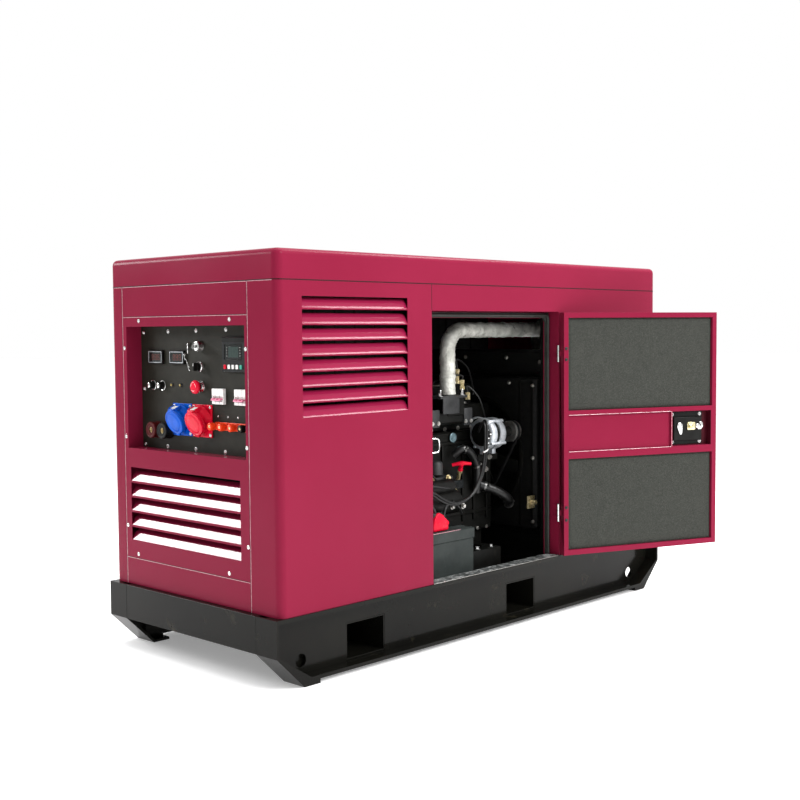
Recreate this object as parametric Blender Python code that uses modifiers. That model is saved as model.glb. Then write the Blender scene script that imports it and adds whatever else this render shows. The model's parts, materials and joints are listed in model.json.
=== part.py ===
"""Engine driven welder: a canopied diesel welding generator on a fork-lift skid.

Metres, +Z up. Machine coordinates have X along the length (control panel at -X),
the engine door on the -Y side and Z measured from the sill, the top of the skid.
One parent empty lifts the machine onto the ground and centres its plan.
"""
import math

import bmesh
import bpy
from mathutils import Matrix, Vector

# ---------------------------------------------------------------- driving dimensions
LENGTH = 1.900
WIDTH = 0.812
BODY_HEIGHT = 0.936
ROOF_HEIGHT = 0.086
SKID_HEIGHT = 0.205
SHEET = 0.002
GAP = 0.0003
CORNER_RADIUS = 0.024
ROOF_EDGE_RADIUS = 0.018

HALF_X = LENGTH / 2
HALF_Y = WIDTH / 2

# skid
SKID_HALF_X = 0.970
SKID_HALF_Y = 0.410
WEB_Y = 0.360
WEB_THICKNESS = 0.006
SKID_END_DROP = 0.108
FOOT_X = (0.810, 0.870)
CAP_INNER_Y = 0.320
CAP_THICKNESS = 0.008
CHANNEL_TOP = -0.012
CHANNEL_BOTTOM = -0.181
RAIL_BOTTOM = -0.192
FORK_POCKETS = {"left": (-0.662, -0.499), "right": (0.088, 0.248)}
FORK_POCKET_Z = (-0.1805, -0.068)
LASHING_HOLE = (0.840, -0.144, 0.020)

# housing
DOOR_OPENING = (-0.3265, 0.3305)
LINTEL_Z = 0.8535
POST_FRONT_Y = -0.277
POST_REAR_Y = 0.340
END_PANEL_Z = (0.086, 0.842)
FRAME_DEPTH = 0.050

# door, in its own closed coordinates: x away from the opening, y into the machine
HINGE_AXIS = (0.325, -0.4065)
DOOR_OPEN_DEG = 156.5
DOOR_X = (-0.6475, -0.0055)
DOOR_Y = (0.0005, 0.0305)
DOOR_Z = (0.003, 0.8505)
DOOR_BORDER = 0.018
DOOR_SKIN = 0.0015
STRIP_Z = (0.365, 0.495)
STRIP_RAIL = 0.015
LATCH_X = (-0.625, -0.456)
HINGE_Z = ((0.122, 0.180), (0.682, 0.734))
KNUCKLE_RADIUS = 0.0045
# Louvre blades as (depth into the machine, rise), from the lip at the skin to the inner edge
PRESSED_BLADE = ((0, -0.0030), (0, 0.0004), (0.0042, 0.0050), (0.0062, 0.0100), (0.0092, 0.0165),
                 (0.0136, 0.0228), (0.0190, 0.0278), (0.0235, 0.0305))
STEEP_BLADE = ((0, -0.0030), (0, 0.0026), (0.0012, 0.0036), (0.0120, 0.0218), (0.0170, 0.0280),
               (0.0300, 0.0345))
FOLDED_BLADE = ((0, -0.0015), (0, 0.0065), (0.0200, 0.0265))

# control panel
RECESS_Y = (-0.266, 0.322)
RECESS_Z = (0.430, 0.8135)
PLATE_X = -0.895
DEVICE_COLUMN_Y = 0.010
LID_TILT_DEG = 20.0

# engine bay
CRANK = (0.0, 0.150)
FAN_CENTRE = (0.0, 0.330)
ALTERNATOR = (-0.217, 0.430)
BELT_X = (0.293, 0.303)
BELT_THICKNESS = 0.006
BELT_CLEARANCE = 0.0012
PULLEY_RADII = {"crank": 0.075, "fan": 0.050, "alternator": 0.032}
PIPE_RADIUS = 0.027
DIPSTICK_FOOT = (0.075, -0.145, 0.235)
DIPSTICK_SEAT = (0.040, -0.200, 0.312)

MATERIALS = {
    "crimson_paint": ((0.42, 0.022, 0.085, 1), 0.28, 0.0),
    "black_paint": ((0.012, 0.012, 0.013, 1), 0.22, 0.0),
    "panel_black": ((0.030, 0.030, 0.026, 1), 0.45, 0.0),
    "engine_black": ((0.015, 0.015, 0.016, 1), 0.50, 0.0),
    "foam_grey": ((0.085, 0.090, 0.080, 1), 0.95, 0.0),
    "seal_rubber": ((0.045, 0.050, 0.045, 1), 0.75, 0.0),
    "black_plastic": ((0.020, 0.020, 0.020, 1), 0.40, 0.0),
    "grey_plastic": ((0.110, 0.120, 0.130, 1), 0.45, 0.0),
    "white_plastic": ((0.800, 0.800, 0.780, 1), 0.40, 0.0),
    "red_plastic": ((0.750, 0.020, 0.030, 1), 0.35, 0.0),
    "blue_plastic": ((0.020, 0.080, 0.620, 1), 0.35, 0.0),
    "orange_plastic": ((0.800, 0.100, 0.020, 1), 0.35, 0.0),
    "brown_plastic": ((0.180, 0.020, 0.015, 1), 0.45, 0.0),
    "green_plastic": ((0.020, 0.350, 0.250, 1), 0.40, 0.0),
    "chrome": ((0.800, 0.800, 0.800, 1), 0.12, 1.0),
    "steel": ((0.450, 0.450, 0.450, 1), 0.40, 1.0),
    "aluminium": ((0.700, 0.700, 0.710, 1), 0.35, 1.0),
    "lagging": ((0.550, 0.550, 0.530, 1), 0.45, 0.6),
    "black_rubber": ((0.015, 0.015, 0.015, 1), 0.60, 0.0),
}



# ---------------------------------------------------------------- scene and helpers
def clear_scene():
    for item in list(bpy.data.objects):
        bpy.data.objects.remove(item, do_unlink=True)


def new_collection(name):
    collection = bpy.data.collections.new(name)
    bpy.context.scene.collection.children.link(collection)
    return collection


def make_materials():
    made = {}
    for name, (colour, roughness, metallic) in MATERIALS.items():
        material = bpy.data.materials.new(name)
        material.use_nodes = True
        shader = material.node_tree.nodes["Principled BSDF"]
        shader.inputs["Base Color"].default_value = colour
        shader.inputs["Roughness"].default_value = roughness
        shader.inputs["Metallic"].default_value = metallic
        material.diffuse_color = colour
        made[name] = material
    return made


def empty(name, location=(0, 0, 0), parent=None, turn_deg=0.0):
    item = bpy.data.objects.new(name, None)
    PARTS.objects.link(item)
    item.location = location
    item.rotation_euler = (0, 0, math.radians(turn_deg))
    item.parent = parent
    return item


def part(name, mesh, material, origin=(0, 0, 0), parent=None, smooth_deg=35):
    """One sub-part: the mesh is given in its parent's coordinates."""
    mesh.name = name
    mesh.transform(Matrix.Translation(-Vector(origin)))
    mesh.materials.clear()
    mesh.materials.append(MADE[material])
    mesh.shade_smooth()
    mesh.set_sharp_from_angle(angle=math.radians(smooth_deg))
    item = bpy.data.objects.new(name, mesh)
    PARTS.objects.link(item)
    item.location = origin
    item.parent = parent or MACHINE
    return item


def boolean(item, tools, operation):
    """Cuts or fuses the tool meshes, given in the parent's coordinates."""
    for number, mesh in enumerate(tools):
        tool = bpy.data.objects.new(f"{item.name}_{operation.lower()}_{number}", mesh)
        CUTTERS.objects.link(tool)
        tool.parent = item.parent
        tool.hide_render = True
        tool.display_type = "WIRE"
        modifier = item.modifiers.new(tool.name, "BOOLEAN")
        modifier.operation = operation
        modifier.solver = "EXACT"
        modifier.use_self = operation == "UNION"
        modifier.object = tool


def cut(item, *tools):
    boolean(item, tools, "DIFFERENCE")


def fuse(item, *tools):
    boolean(item, tools, "UNION")


def mesh_from(builder):
    work = bmesh.new()
    builder(work)
    mesh = bpy.data.meshes.new("shape")
    work.to_mesh(mesh)
    work.free()
    return mesh


def block(x, y, z, bevel=0.0, segments=2):
    """A box between the low and high value on each axis."""
    def build(work):
        bmesh.ops.create_cube(work, size=1.0)
        size = Matrix.Diagonal((x[1] - x[0], y[1] - y[0], z[1] - z[0], 1))
        centre = Vector((sum(x) / 2, sum(y) / 2, sum(z) / 2))
        bmesh.ops.transform(work, matrix=Matrix.Translation(centre) @ size, verts=work.verts)
        if bevel:
            bmesh.ops.bevel(work, geom=work.edges[:], offset=bevel, segments=segments,
                            profile=0.5, affect="EDGES")
    return mesh_from(build)


def rod(start, end, radius, sides=20, end_radius=None):
    """A cylinder, or a cone when end_radius is given, from start to end."""
    start, end = Vector(start), Vector(end)
    along = end - start

    def build(work):
        bmesh.ops.create_cone(work, cap_ends=True, segments=sides, radius1=radius,
                              radius2=radius if end_radius is None else end_radius,
                              depth=along.length)
        turn = along.to_track_quat("Z", "Y").to_matrix().to_4x4()
        bmesh.ops.transform(work, matrix=Matrix.Translation((start + end) / 2) @ turn,
                            verts=work.verts)
    return mesh_from(build)


def curve_to_mesh(curve):
    item = bpy.data.objects.new("profile", curve)
    CUTTERS.objects.link(item)
    bpy.context.view_layer.update()
    evaluated = item.evaluated_get(bpy.context.evaluated_depsgraph_get())
    mesh = bpy.data.meshes.new_from_object(evaluated)
    work = bmesh.new()
    work.from_mesh(mesh)
    bmesh.ops.remove_doubles(work, verts=work.verts, dist=0.00001)
    work.to_mesh(mesh)
    work.free()
    bpy.data.objects.remove(item, do_unlink=True)
    return mesh


def outline(points, axis, low, high):
    """A flat closed outline extruded along an axis.

    The outline's two numbers are (y, z) for X, (x, z) for Y and (x, y) for Z."""
    curve = bpy.data.curves.new("outline", "CURVE")
    curve.dimensions = "2D"
    curve.fill_mode = "BOTH"
    curve.extrude = (high - low) / 2
    spline = curve.splines.new("POLY")
    spline.points.add(len(points) - 1)
    for point, (across, up) in zip(spline.points, points):
        point.co = (across, up, 0, 1)
    spline.use_cyclic_u = True
    mesh = curve_to_mesh(curve)
    centre = (low + high) / 2
    turns = {
        "X": Matrix(((0, 0, 1, centre), (1, 0, 0, 0), (0, 1, 0, 0), (0, 0, 0, 1))),
        "Y": Matrix(((1, 0, 0, 0), (0, 0, -1, centre), (0, 1, 0, 0), (0, 0, 0, 1))),
        "Z": Matrix.Translation((0, 0, centre)),
    }
    mesh.transform(turns[axis])
    return mesh


def tube(points, radius, resolution=2):
    """A round bar or pipe through the points, with filled ends."""
    curve = bpy.data.curves.new("tube", "CURVE")
    curve.dimensions = "3D"
    curve.bevel_depth = radius
    curve.bevel_resolution = resolution
    curve.use_fill_caps = True
    spline = curve.splines.new("POLY")
    spline.points.add(len(points) - 1)
    for point, place in zip(spline.points, points):
        point.co = (*place, 1)
    return curve_to_mesh(curve)


def smooth_route(points, steps):
    """Points read from a Catmull-Rom curve through the route's own points."""
    knots = [Vector(p) for p in points]
    knots = [knots[0] * 2 - knots[1], *knots, knots[-1] * 2 - knots[-2]]
    route = []
    for index in range(1, len(knots) - 2):
        before, a, b, after = knots[index - 1:index + 3]
        for step in range(steps):
            t = step / steps
            route.append(0.5 * (2 * a + (b - before) * t
                                + (2 * before - 5 * a + 4 * b - after) * t ** 2
                                + (3 * a - before - 3 * b + after) * t ** 3))
    route.append(knots[-2])
    return route


def arc(centre, radius, start_deg, end_deg, steps):
    """Points along an arc, both ends included."""
    angles = [math.radians(start_deg + (end_deg - start_deg) * i / steps)
              for i in range(steps + 1)]
    return [(centre[0] + radius * math.cos(a), centre[1] + radius * math.sin(a)) for a in angles]


def rounded_rectangle(x, y, radius, steps=5):
    points = []
    for cx, cy, start in ((x[1], y[1], 0), (x[0], y[1], 90), (x[0], y[0], 180), (x[1], y[0], 270)):
        centre = (cx - math.copysign(radius, cx - sum(x) / 2),
                  cy - math.copysign(radius, cy - sum(y) / 2))
        points += arc(centre, radius, start, start + 90, steps)
    return points


def merged(*meshes):
    """Several shapes that don't touch, as one tool mesh."""
    work = bmesh.new()
    for mesh in meshes:
        work.from_mesh(mesh)
    mesh = bpy.data.meshes.new("tools")
    work.to_mesh(mesh)
    work.free()
    return mesh


def turned(profile, start, direction, sides=28):
    """A turned solid: profile of (radius, distance along direction), both ends on the axis."""
    mesh = bpy.data.meshes.new("turned")
    mesh.from_pydata([(r, 0, d) for r, d in profile], [(i, i + 1) for i in range(len(profile) - 1)], [])
    item = bpy.data.objects.new("lathe", mesh)
    CUTTERS.objects.link(item)
    screw = item.modifiers.new("turn", "SCREW")
    screw.steps = sides
    screw.render_steps = sides
    screw.use_merge_vertices = True
    screw.merge_threshold = 0.00001
    screw.use_normal_calculate = True
    bpy.context.view_layer.update()
    evaluated = item.evaluated_get(bpy.context.evaluated_depsgraph_get())
    solid = bpy.data.meshes.new_from_object(evaluated)
    bpy.data.objects.remove(item, do_unlink=True)
    turn = Vector(direction).to_track_quat("Z", "Y").to_matrix().to_4x4()
    work = bmesh.new()
    work.from_mesh(solid)
    bmesh.ops.remove_doubles(work, verts=work.verts, dist=0.00001)
    bmesh.ops.recalc_face_normals(work, faces=work.faces)
    work.to_mesh(solid)
    work.free()
    solid.transform(Matrix.Translation(start) @ turn)
    return solid


# ---------------------------------------------------------------- skid
def rail_profile(inset=0.0):
    """Side view of a rail: raked ends that wrap into feet, or its recess when inset."""
    top = CHANNEL_TOP if inset else 0.0
    foot = CHANNEL_BOTTOM if inset else -SKID_HEIGHT
    end = SKID_HALF_X - inset
    toe = FOOT_X[1] - (CAP_THICKNESS + 0.018 if inset else 0.0)
    half = [(end, top), (end, -SKID_END_DROP + inset / 3), (toe, foot)]
    if not inset:
        half += [(FOOT_X[0], foot), (FOOT_X[0], RAIL_BOTTOM)]
    return half + [(-x, z) for x, z in reversed(half)]


def end_cap_profile(side):
    """The bent end plate: down the end, along the rake and under the foot."""
    t = CAP_THICKNESS
    points = [(SKID_HALF_X, 0), (SKID_HALF_X, -SKID_END_DROP), (FOOT_X[1], -SKID_HEIGHT),
              (FOOT_X[0], -SKID_HEIGHT), (FOOT_X[0], -SKID_HEIGHT + t),
              (FOOT_X[1] - 0.004, -SKID_HEIGHT + t), (SKID_HALF_X - t, -SKID_END_DROP + 0.004),
              (SKID_HALF_X - t, 0)]
    return [(side * x, z) for x, z in points]


def skid_rail(name, side):
    outer, web = side * SKID_HALF_Y, side * (WEB_Y - WEB_THICKNESS)
    rail = part(name, outline(rail_profile(), "Y", min(outer, web), max(outer, web)), "black_paint")
    beyond = side * (SKID_HALF_Y + 0.01)
    face = side * WEB_Y
    cut(rail, outline(rail_profile(CAP_THICKNESS), "Y", min(beyond, face), max(beyond, face)))
    through = sorted((side * 0.34, side * 0.43))
    pocket_z = (FORK_POCKET_Z[0] - GAP, FORK_POCKET_Z[1] + GAP)
    cut(rail, merged(*[block((x0 - GAP, x1 + GAP), through, pocket_z)
                       for x0, x1 in FORK_POCKETS.values()]))
    x, z, radius = LASHING_HOLE
    cut(rail, merged(*[rod((s * x, through[0], z), (s * x, through[1], z), radius, 20) for s in (-1, 1)]))
    cap = sorted((side * CAP_INNER_Y, side * (WEB_Y + 0.001)))
    fuse(rail, *[outline(end_cap_profile(s), "Y", *cap) for s in (-1, 1)])
    return rail


def base_pan():
    """The floor under the engine, folded up with the end plates of the skid."""
    y = (-CAP_INNER_Y + GAP, CAP_INNER_Y - GAP)
    floor = FORK_POCKET_Z[1] + GAP
    drop, lip, t = -SKID_END_DROP, 0.030, 0.006
    right = [(0.955, floor), (SKID_HALF_X - t, floor), (SKID_HALF_X - t, drop + t), (0.935, drop + t),
             (0.935, drop), (SKID_HALF_X, drop), (SKID_HALF_X, 0), (SKID_HALF_X - lip, 0),
             (SKID_HALF_X - lip, -t), (SKID_HALF_X - t, -t), (SKID_HALF_X - t, floor + t)]
    points = right + [(-x, z) for x, z in reversed(right)]
    pan = part("base_pan", outline(points, "Y", *y), "black_paint")
    bearer = block((-0.90, 0.90), (-0.3537, 0.3537), (floor, floor + t))
    fuse(pan, bearer)


def fork_pocket(name, x):
    y = WEB_Y - GAP
    outer = part(name, block(x, (-y, y), FORK_POCKET_Z), "black_paint")
    wall = 0.005
    cut(outer, block((x[0] + wall, x[1] - wall), (-0.5, 0.5),
                     (FORK_POCKET_Z[0] + wall, FORK_POCKET_Z[1] - wall)))


def make_skid():
    skid_rail("skid_rail_front", -1)
    skid_rail("skid_rail_rear", 1)
    base_pan()
    for side, x in FORK_POCKETS.items():
        fork_pocket(f"fork_pocket_{side}", x)


# ---------------------------------------------------------------- housing
def blades(axis, span, outer, inward, first_z, pitch, count, profile, thick=0.0017):
    """Louvre blades that rise into the machine: profile is their depth and rise from the lip."""
    shapes = []
    for index in range(count):
        z = first_z + index * pitch
        outside = [(outer + inward * deep, z + rise) for deep, rise in profile]
        inside = [(outer + inward * (deep + thick), z + rise - thick * 0.5) for deep, rise in profile]
        shapes.append(outline(outside + list(reversed(inside)), axis, *span))
    return shapes


def side_louvre(side, window_x):
    """The eight pressed blades of a side window, on the front (-1) or the rear (1) skin."""
    span = (window_x[0] - 0.002, window_x[1] + 0.002)
    return blades("X", span, side * HALF_Y, -side, 0.5525, 0.0436, 8, PRESSED_BLADE)


def end_louvre(side, span, first_z, pitch, count, profile):
    """Blades for an end panel: made along X, then turned to face that end."""
    low, high = sorted((side * span[0], side * span[1]))
    shapes = blades("X", (low - 0.002, high + 0.002), 0, 1, first_z, pitch, count, profile)
    turn = Matrix.Translation((side * HALF_X, 0, 0)) @ Matrix.Rotation(side * math.pi / 2, 4, "Z")
    for shape in shapes:
        shape.transform(turn)
    return shapes


def corner_path(end_side, y_side, x_edge, y_edge, inset):
    """Half of a panel that wraps a housing corner, from its side edge to its end edge."""
    x, y = HALF_X - inset, HALF_Y - inset
    radius = CORNER_RADIUS - inset
    arc_points = arc((x - radius, y - radius), radius, 90, 0, 5)
    points = [(x_edge * end_side, y)] + arc_points + [(x, y_edge * y_side)]
    return [(px * end_side, py * y_side) for px, py in points]


def corner_outline(end_side, y_side, x_edge, y_edge):
    return (corner_path(end_side, y_side, x_edge, y_edge, 0)
            + list(reversed(corner_path(end_side, y_side, x_edge, y_edge, SHEET))))


def side_panel_front_left():
    top = BODY_HEIGHT - GAP
    edge = DOOR_OPENING[0]
    panel = part("side_panel_front_left",
                 outline(corner_outline(-1, -1, edge, POST_FRONT_Y), "Z", 0.0003, top), "crimson_paint")
    window_x, window_z = (-0.860, -0.435), (0.551, 0.891)
    cut(panel, block(window_x, (-HALF_Y - 0.01, -HALF_Y + 0.01), window_z))
    fuse(panel, *side_louvre(-1, window_x))


def side_panel_front_right():
    top = BODY_HEIGHT - GAP
    panel = part("side_panel_front_right",
                 outline(corner_outline(1, -1, DOOR_OPENING[1], POST_FRONT_Y), "Z", 0.0003, top),
                 "crimson_paint")
    fuse(panel, block((DOOR_OPENING[0] + GAP, DOOR_OPENING[1] + 0.002), (-HALF_Y, -HALF_Y + SHEET),
                      (LINTEL_Z, top)))


def rear_panel():
    """One rear skin wrapping both rear corners, with a bolted service hatch pressed in it."""
    top = BODY_HEIGHT - GAP
    right = corner_path(1, 1, 0.0, POST_REAR_Y, 0)
    left = corner_path(-1, 1, 0.0, POST_REAR_Y, 0)
    right_in = corner_path(1, 1, 0.0, POST_REAR_Y, SHEET)
    left_in = corner_path(-1, 1, 0.0, POST_REAR_Y, SHEET)
    points = list(reversed(right))[:-1] + left + list(reversed(left_in))[:-1] + right_in
    panel = part("rear_panel", outline(points, "Z", 0.0003, top), "crimson_paint")
    window_x, window_z = (-0.860, -0.435), (0.551, 0.891)
    cut(panel, block(window_x, (HALF_Y - 0.01, HALF_Y + 0.01), window_z))
    fuse(panel, *side_louvre(1, window_x))
    seam_out = block((DOOR_OPENING[0], DOOR_OPENING[1]), (HALF_Y - 0.0008, HALF_Y + 0.01), (0.06, LINTEL_Z))
    seam_in = block((DOOR_OPENING[0] + 0.003, DOOR_OPENING[1] - 0.003), (HALF_Y - 0.0012, HALF_Y),
                    (0.063, LINTEL_Z - 0.003))
    cut(panel, seam_out)
    fuse(panel, seam_in)


def end_frame_left():
    y = (POST_FRONT_Y + GAP, POST_REAR_Y - GAP)
    z = (GAP, BODY_HEIGHT - GAP)
    back = -HALF_X + SHEET + GAP
    frame = part("end_frame_left", block((back, -HALF_X + 0.012), y, z), "crimson_paint")
    cut(frame, block((-1, -0.9), (RECESS_Y[0] - 0.003, RECESS_Y[1] + 0.003), (0.110, RECESS_Z[1] + 0.003)))
    rails = [block((-HALF_X, back + 0.001), y, (GAP, END_PANEL_Z[0] - GAP)),
             block((-HALF_X, back + 0.001), y, (END_PANEL_Z[1] + GAP, z[1]))]
    fuse(frame, *rails)


def end_panel_left():
    y = (POST_FRONT_Y + GAP, POST_REAR_Y - GAP)
    x = (-HALF_X, -HALF_X + SHEET)
    panel = part("end_panel_left", block(x, y, END_PANEL_Z), "crimson_paint")
    through = (-HALF_X - 0.01, -HALF_X + 0.01)
    louvre_y, louvre_z = (-0.235, 0.310), (0.138, 0.372)
    cut(panel, merged(block(through, (RECESS_Y[0] + 0.002, RECESS_Y[1] - 0.002),
                            (RECESS_Z[0] + 0.002, RECESS_Z[1] - 0.002)),
                      block(through, louvre_y, louvre_z)))
    fuse(panel, *end_louvre(-1, louvre_y, 0.1395, 0.0466, 5, STEEP_BLADE))


def end_panel_right():
    """The radiator end: one louvred panel between the wrapped corners."""
    y = (POST_FRONT_Y + GAP, POST_REAR_Y - GAP)
    panel = part("end_panel_right", block((HALF_X - SHEET, HALF_X), y, (GAP, BODY_HEIGHT - GAP)),
                 "crimson_paint")
    through = (HALF_X - 0.01, HALF_X + 0.01)
    louvre_y, louvre_z = (-0.230, 0.290), (0.100, 0.640)
    cut(panel, merged(block(through, louvre_y, louvre_z),
                      rod((0.9, -0.155, 0.760), (1.0, -0.155, 0.760), 0.034, 24)))
    fuse(panel, *end_louvre(1, louvre_y, 0.1015, 0.0450, 12, FOLDED_BLADE))


def roof_cover():
    def rounded_box(x, y, z, radius, edge):
        mesh = outline(rounded_rectangle(x, y, radius), "Z", *z)
        work = bmesh.new()
        work.from_mesh(mesh)
        rim = [e for e in work.edges
               if all(v.co.z > z[1] - 0.0001 for v in e.verts) and len(e.link_faces) == 2
               and any(abs(f.normal.z) < 0.5 for f in e.link_faces)]
        bmesh.ops.bevel(work, geom=rim, offset=edge, segments=4, profile=0.5, affect="EDGES")
        work.to_mesh(mesh)
        work.free()
        return mesh

    z = (BODY_HEIGHT + GAP, BODY_HEIGHT + ROOF_HEIGHT)
    roof = part("roof_cover", rounded_box((-HALF_X, HALF_X), (-HALF_Y, HALF_Y), z, CORNER_RADIUS,
                                          ROOF_EDGE_RADIUS), "crimson_paint", smooth_deg=40)
    t = SHEET
    cut(roof, rounded_box((-HALF_X + t, HALF_X - t), (-HALF_Y + t, HALF_Y - t),
                          (z[0] - 0.01, z[1] - t), CORNER_RADIUS - t, ROOF_EDGE_RADIUS - t))


def door_frame():
    """The folded jamb: returns round the opening, the seal's flange and the hinge leaves."""
    front, back = -HALF_Y + SHEET + GAP, -HALF_Y + FRAME_DEPTH
    x = (DOOR_OPENING[0] + GAP, DOOR_OPENING[1] - GAP)
    wall, flange = 0.0015, 0.021
    wide = (x[0] - wall - GAP, x[1] + wall + GAP)
    frame = part("door_frame", block(wide, (front, back + wall), (0.0006, LINTEL_Z + 0.0018)),
                 "crimson_paint")
    cut(frame, block((x[0] + GAP, x[1] + GAP), (-0.5, back), (-0.1, LINTEL_Z)))
    cut(frame, block((x[0] + flange, x[1] - flange), (-0.5, -0.3), (-0.1, LINTEL_Z - flange)))
    axis_x, axis_y = HINGE_AXIS
    knuckles, leaves = [], []
    for low, high in HINGE_Z:
        third = (high - low) / 3
        for bottom in (low, high - third):
            knuckles.append(rod((axis_x, axis_y, bottom), (axis_x, axis_y, bottom + third),
                                KNUCKLE_RADIUS, 14))
            z = (bottom, bottom + third)
            leaves.append(block((axis_x + 0.0024, x[1]), (axis_y, -0.378), z))
            leaves.append(block((x[1] - 0.001, x[1] + 0.001), (front + 0.0003, -0.378), z))
    fuse(frame, *leaves, *knuckles)


def door_seal():
    back = -HALF_Y + FRAME_DEPTH - GAP
    front = back - 0.008
    margin, width, foot = 0.004, 0.016, 0.040
    x = (DOOR_OPENING[0] + margin, DOOR_OPENING[1] - margin)
    z = (0.004, LINTEL_Z - margin)
    seal = part("door_seal", outline(rounded_rectangle(x, z, 0.006), "Y", front, back), "seal_rubber")
    inner = rounded_rectangle((x[0] + width, x[1] - width), (z[0] - foot, z[1] - width), 0.020)
    cut(seal, outline(inner, "Y", front - 0.01, back + 0.01))


def make_housing():
    side_panel_front_left()
    side_panel_front_right()
    rear_panel()
    end_frame_left()
    end_panel_left()
    end_panel_right()
    roof_cover()
    door_frame()
    door_seal()


# ---------------------------------------------------------------- door
def door_pockets():
    x = (DOOR_X[0] + DOOR_BORDER, DOOR_X[1] - DOOR_BORDER)
    upper = (x, (STRIP_Z[1] + STRIP_RAIL, DOOR_Z[1] - DOOR_BORDER))
    lower = (x, (DOOR_Z[0] + DOOR_BORDER, STRIP_Z[0] - 0.024))
    return {"upper": upper, "lower": lower}


def door_shell(pivot):
    door = part("door_shell", block(DOOR_X, DOOR_Y, DOOR_Z), "crimson_paint", parent=pivot)
    beyond = DOOR_Y[1] + 0.01
    pockets = [block(x, (DOOR_Y[0] + DOOR_SKIN, beyond), z) for x, z in door_pockets().values()]
    x = (LATCH_X[1] + 0.006, DOOR_X[1] - DOOR_BORDER)
    strip = block(x, (DOOR_Y[1] - 0.008, beyond), STRIP_Z)
    latch = block(LATCH_X, (DOOR_Y[0] + 0.003, beyond), (STRIP_Z[0] + 0.002, STRIP_Z[1] - 0.002))
    cut(door, merged(*pockets, strip, latch))
    blades = []
    for low in (0.060, 0.545):
        for index in range(5):
            z = low + index * 0.058
            points = [(DOOR_Y[0] + 0.0005, z), (DOOR_Y[0] - 0.008, z), (DOOR_Y[0] - 0.008, z + 0.003),
                      (DOOR_Y[0] + 0.0005, z + 0.028)]
            blades.append(outline(points, "X", -0.560, -0.090))
    knuckles = []
    for low, high in HINGE_Z:
        third = (high - low) / 3
        z = (low + third + 0.0005, high - third - 0.0005)
        knuckles.append(block((-0.0075, -0.0015), (0.001, 0.012), z))
        knuckles.append(rod((0, 0, z[0]), (0, 0, z[1]), KNUCKLE_RADIUS, 14))
    fuse(door, *blades, *knuckles)


def door_foams(pivot):
    clear = 0.0004
    for name, (x, z) in door_pockets().items():
        part(f"door_foam_{name}",
             block((x[0] + clear, x[1] - clear), (DOOR_Y[0] + DOOR_SKIN + GAP, DOOR_Y[1] - 0.004),
                   (z[0] + clear, z[1] - clear)), "foam_grey", parent=pivot)


def door_latch(pivot):
    back = DOOR_Y[0] + 0.003 + GAP
    plate = part("latch_plate", block((-0.600, -0.461), (back, back + 0.004), (0.371, 0.489)),
                 "black_plastic", parent=pivot)
    fuse(plate, block((-0.592, -0.472), (back + 0.003, back + 0.014), (0.384, 0.471), 0.002, 1))
    lever_face = back + 0.014 + GAP
    centre = (-0.494, lever_face, 0.436)
    lever = part("latch_lever", rod(centre, (centre[0], lever_face + 0.006, centre[2]), 0.009, 16),
                 "chrome", origin=centre, parent=pivot)
    fuse(lever, block((-0.502, -0.487), (lever_face, lever_face + 0.005), (0.412, 0.440), 0.001, 1))
    hinge = (-0.525, DOOR_Y[0] - 0.0015, 0.4745)
    part("latch_paddle", block((-0.575, -0.475), (DOOR_Y[0] - 0.007, DOOR_Y[0] - GAP), (0.396, 0.473),
                               0.0015, 1), "black_plastic", origin=hinge, parent=pivot)


def make_door():
    pivot = empty("door_pivot", (*HINGE_AXIS, 0), MACHINE, DOOR_OPEN_DEG)
    door_shell(pivot)
    door_foams(pivot)
    door_latch(pivot)


# ---------------------------------------------------------------- control panel
def control_box():
    wall = 0.0015
    front, back = -HALF_X + SHEET + GAP, -0.700
    box = part("control_box", block((front, back), RECESS_Y, RECESS_Z), "crimson_paint")
    cut(box, block((front - 0.01, back - wall), (RECESS_Y[0] + wall, RECESS_Y[1] - wall),
                   (RECESS_Z[0] + wall, RECESS_Z[1] - wall)))


def outward(y, z, start, end, radius, sides=20, end_radius=None):
    """A round piece standing out of the control plate by start to end."""
    return rod((PLATE_X - start, y, z), (PLATE_X - end, y, z), radius, sides, end_radius)


def facing(y, z, start, end, bevel=0.0):
    """A flat piece standing out of the control plate by start to end."""
    return block((PLATE_X - end, PLATE_X - start), y, z, bevel, 1)


def control_plate():
    inset = 0.0015 + GAP
    plate = part("control_plate",
                 block((PLATE_X, PLATE_X + 0.003), (RECESS_Y[0] + inset, RECESS_Y[1] - inset),
                       (RECESS_Z[0] + inset, RECESS_Z[1] - inset)), "panel_black")
    y = DEVICE_COLUMN_Y
    devices = [facing((0.198, 0.272), (0.697, 0.737), -0.001, 0.006),
               facing((0.087, 0.160), (0.697, 0.737), -0.001, 0.006),
               outward(y, 0.751, -0.001, 0.018, 0.0155),
               outward(y, 0.690, -0.001, 0.010, 0.0145),
               outward(y, 0.630, -0.001, 0.010, 0.0150),
               outward(0.158, 0.632, -0.001, 0.004, 0.0050, 12),
               outward(0.113, 0.632, -0.001, 0.004, 0.0050, 12)]
    fuse(plate, *devices)
    cut(plate, outward(y, 0.630, 0.003, 0.020, 0.0105))


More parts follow.
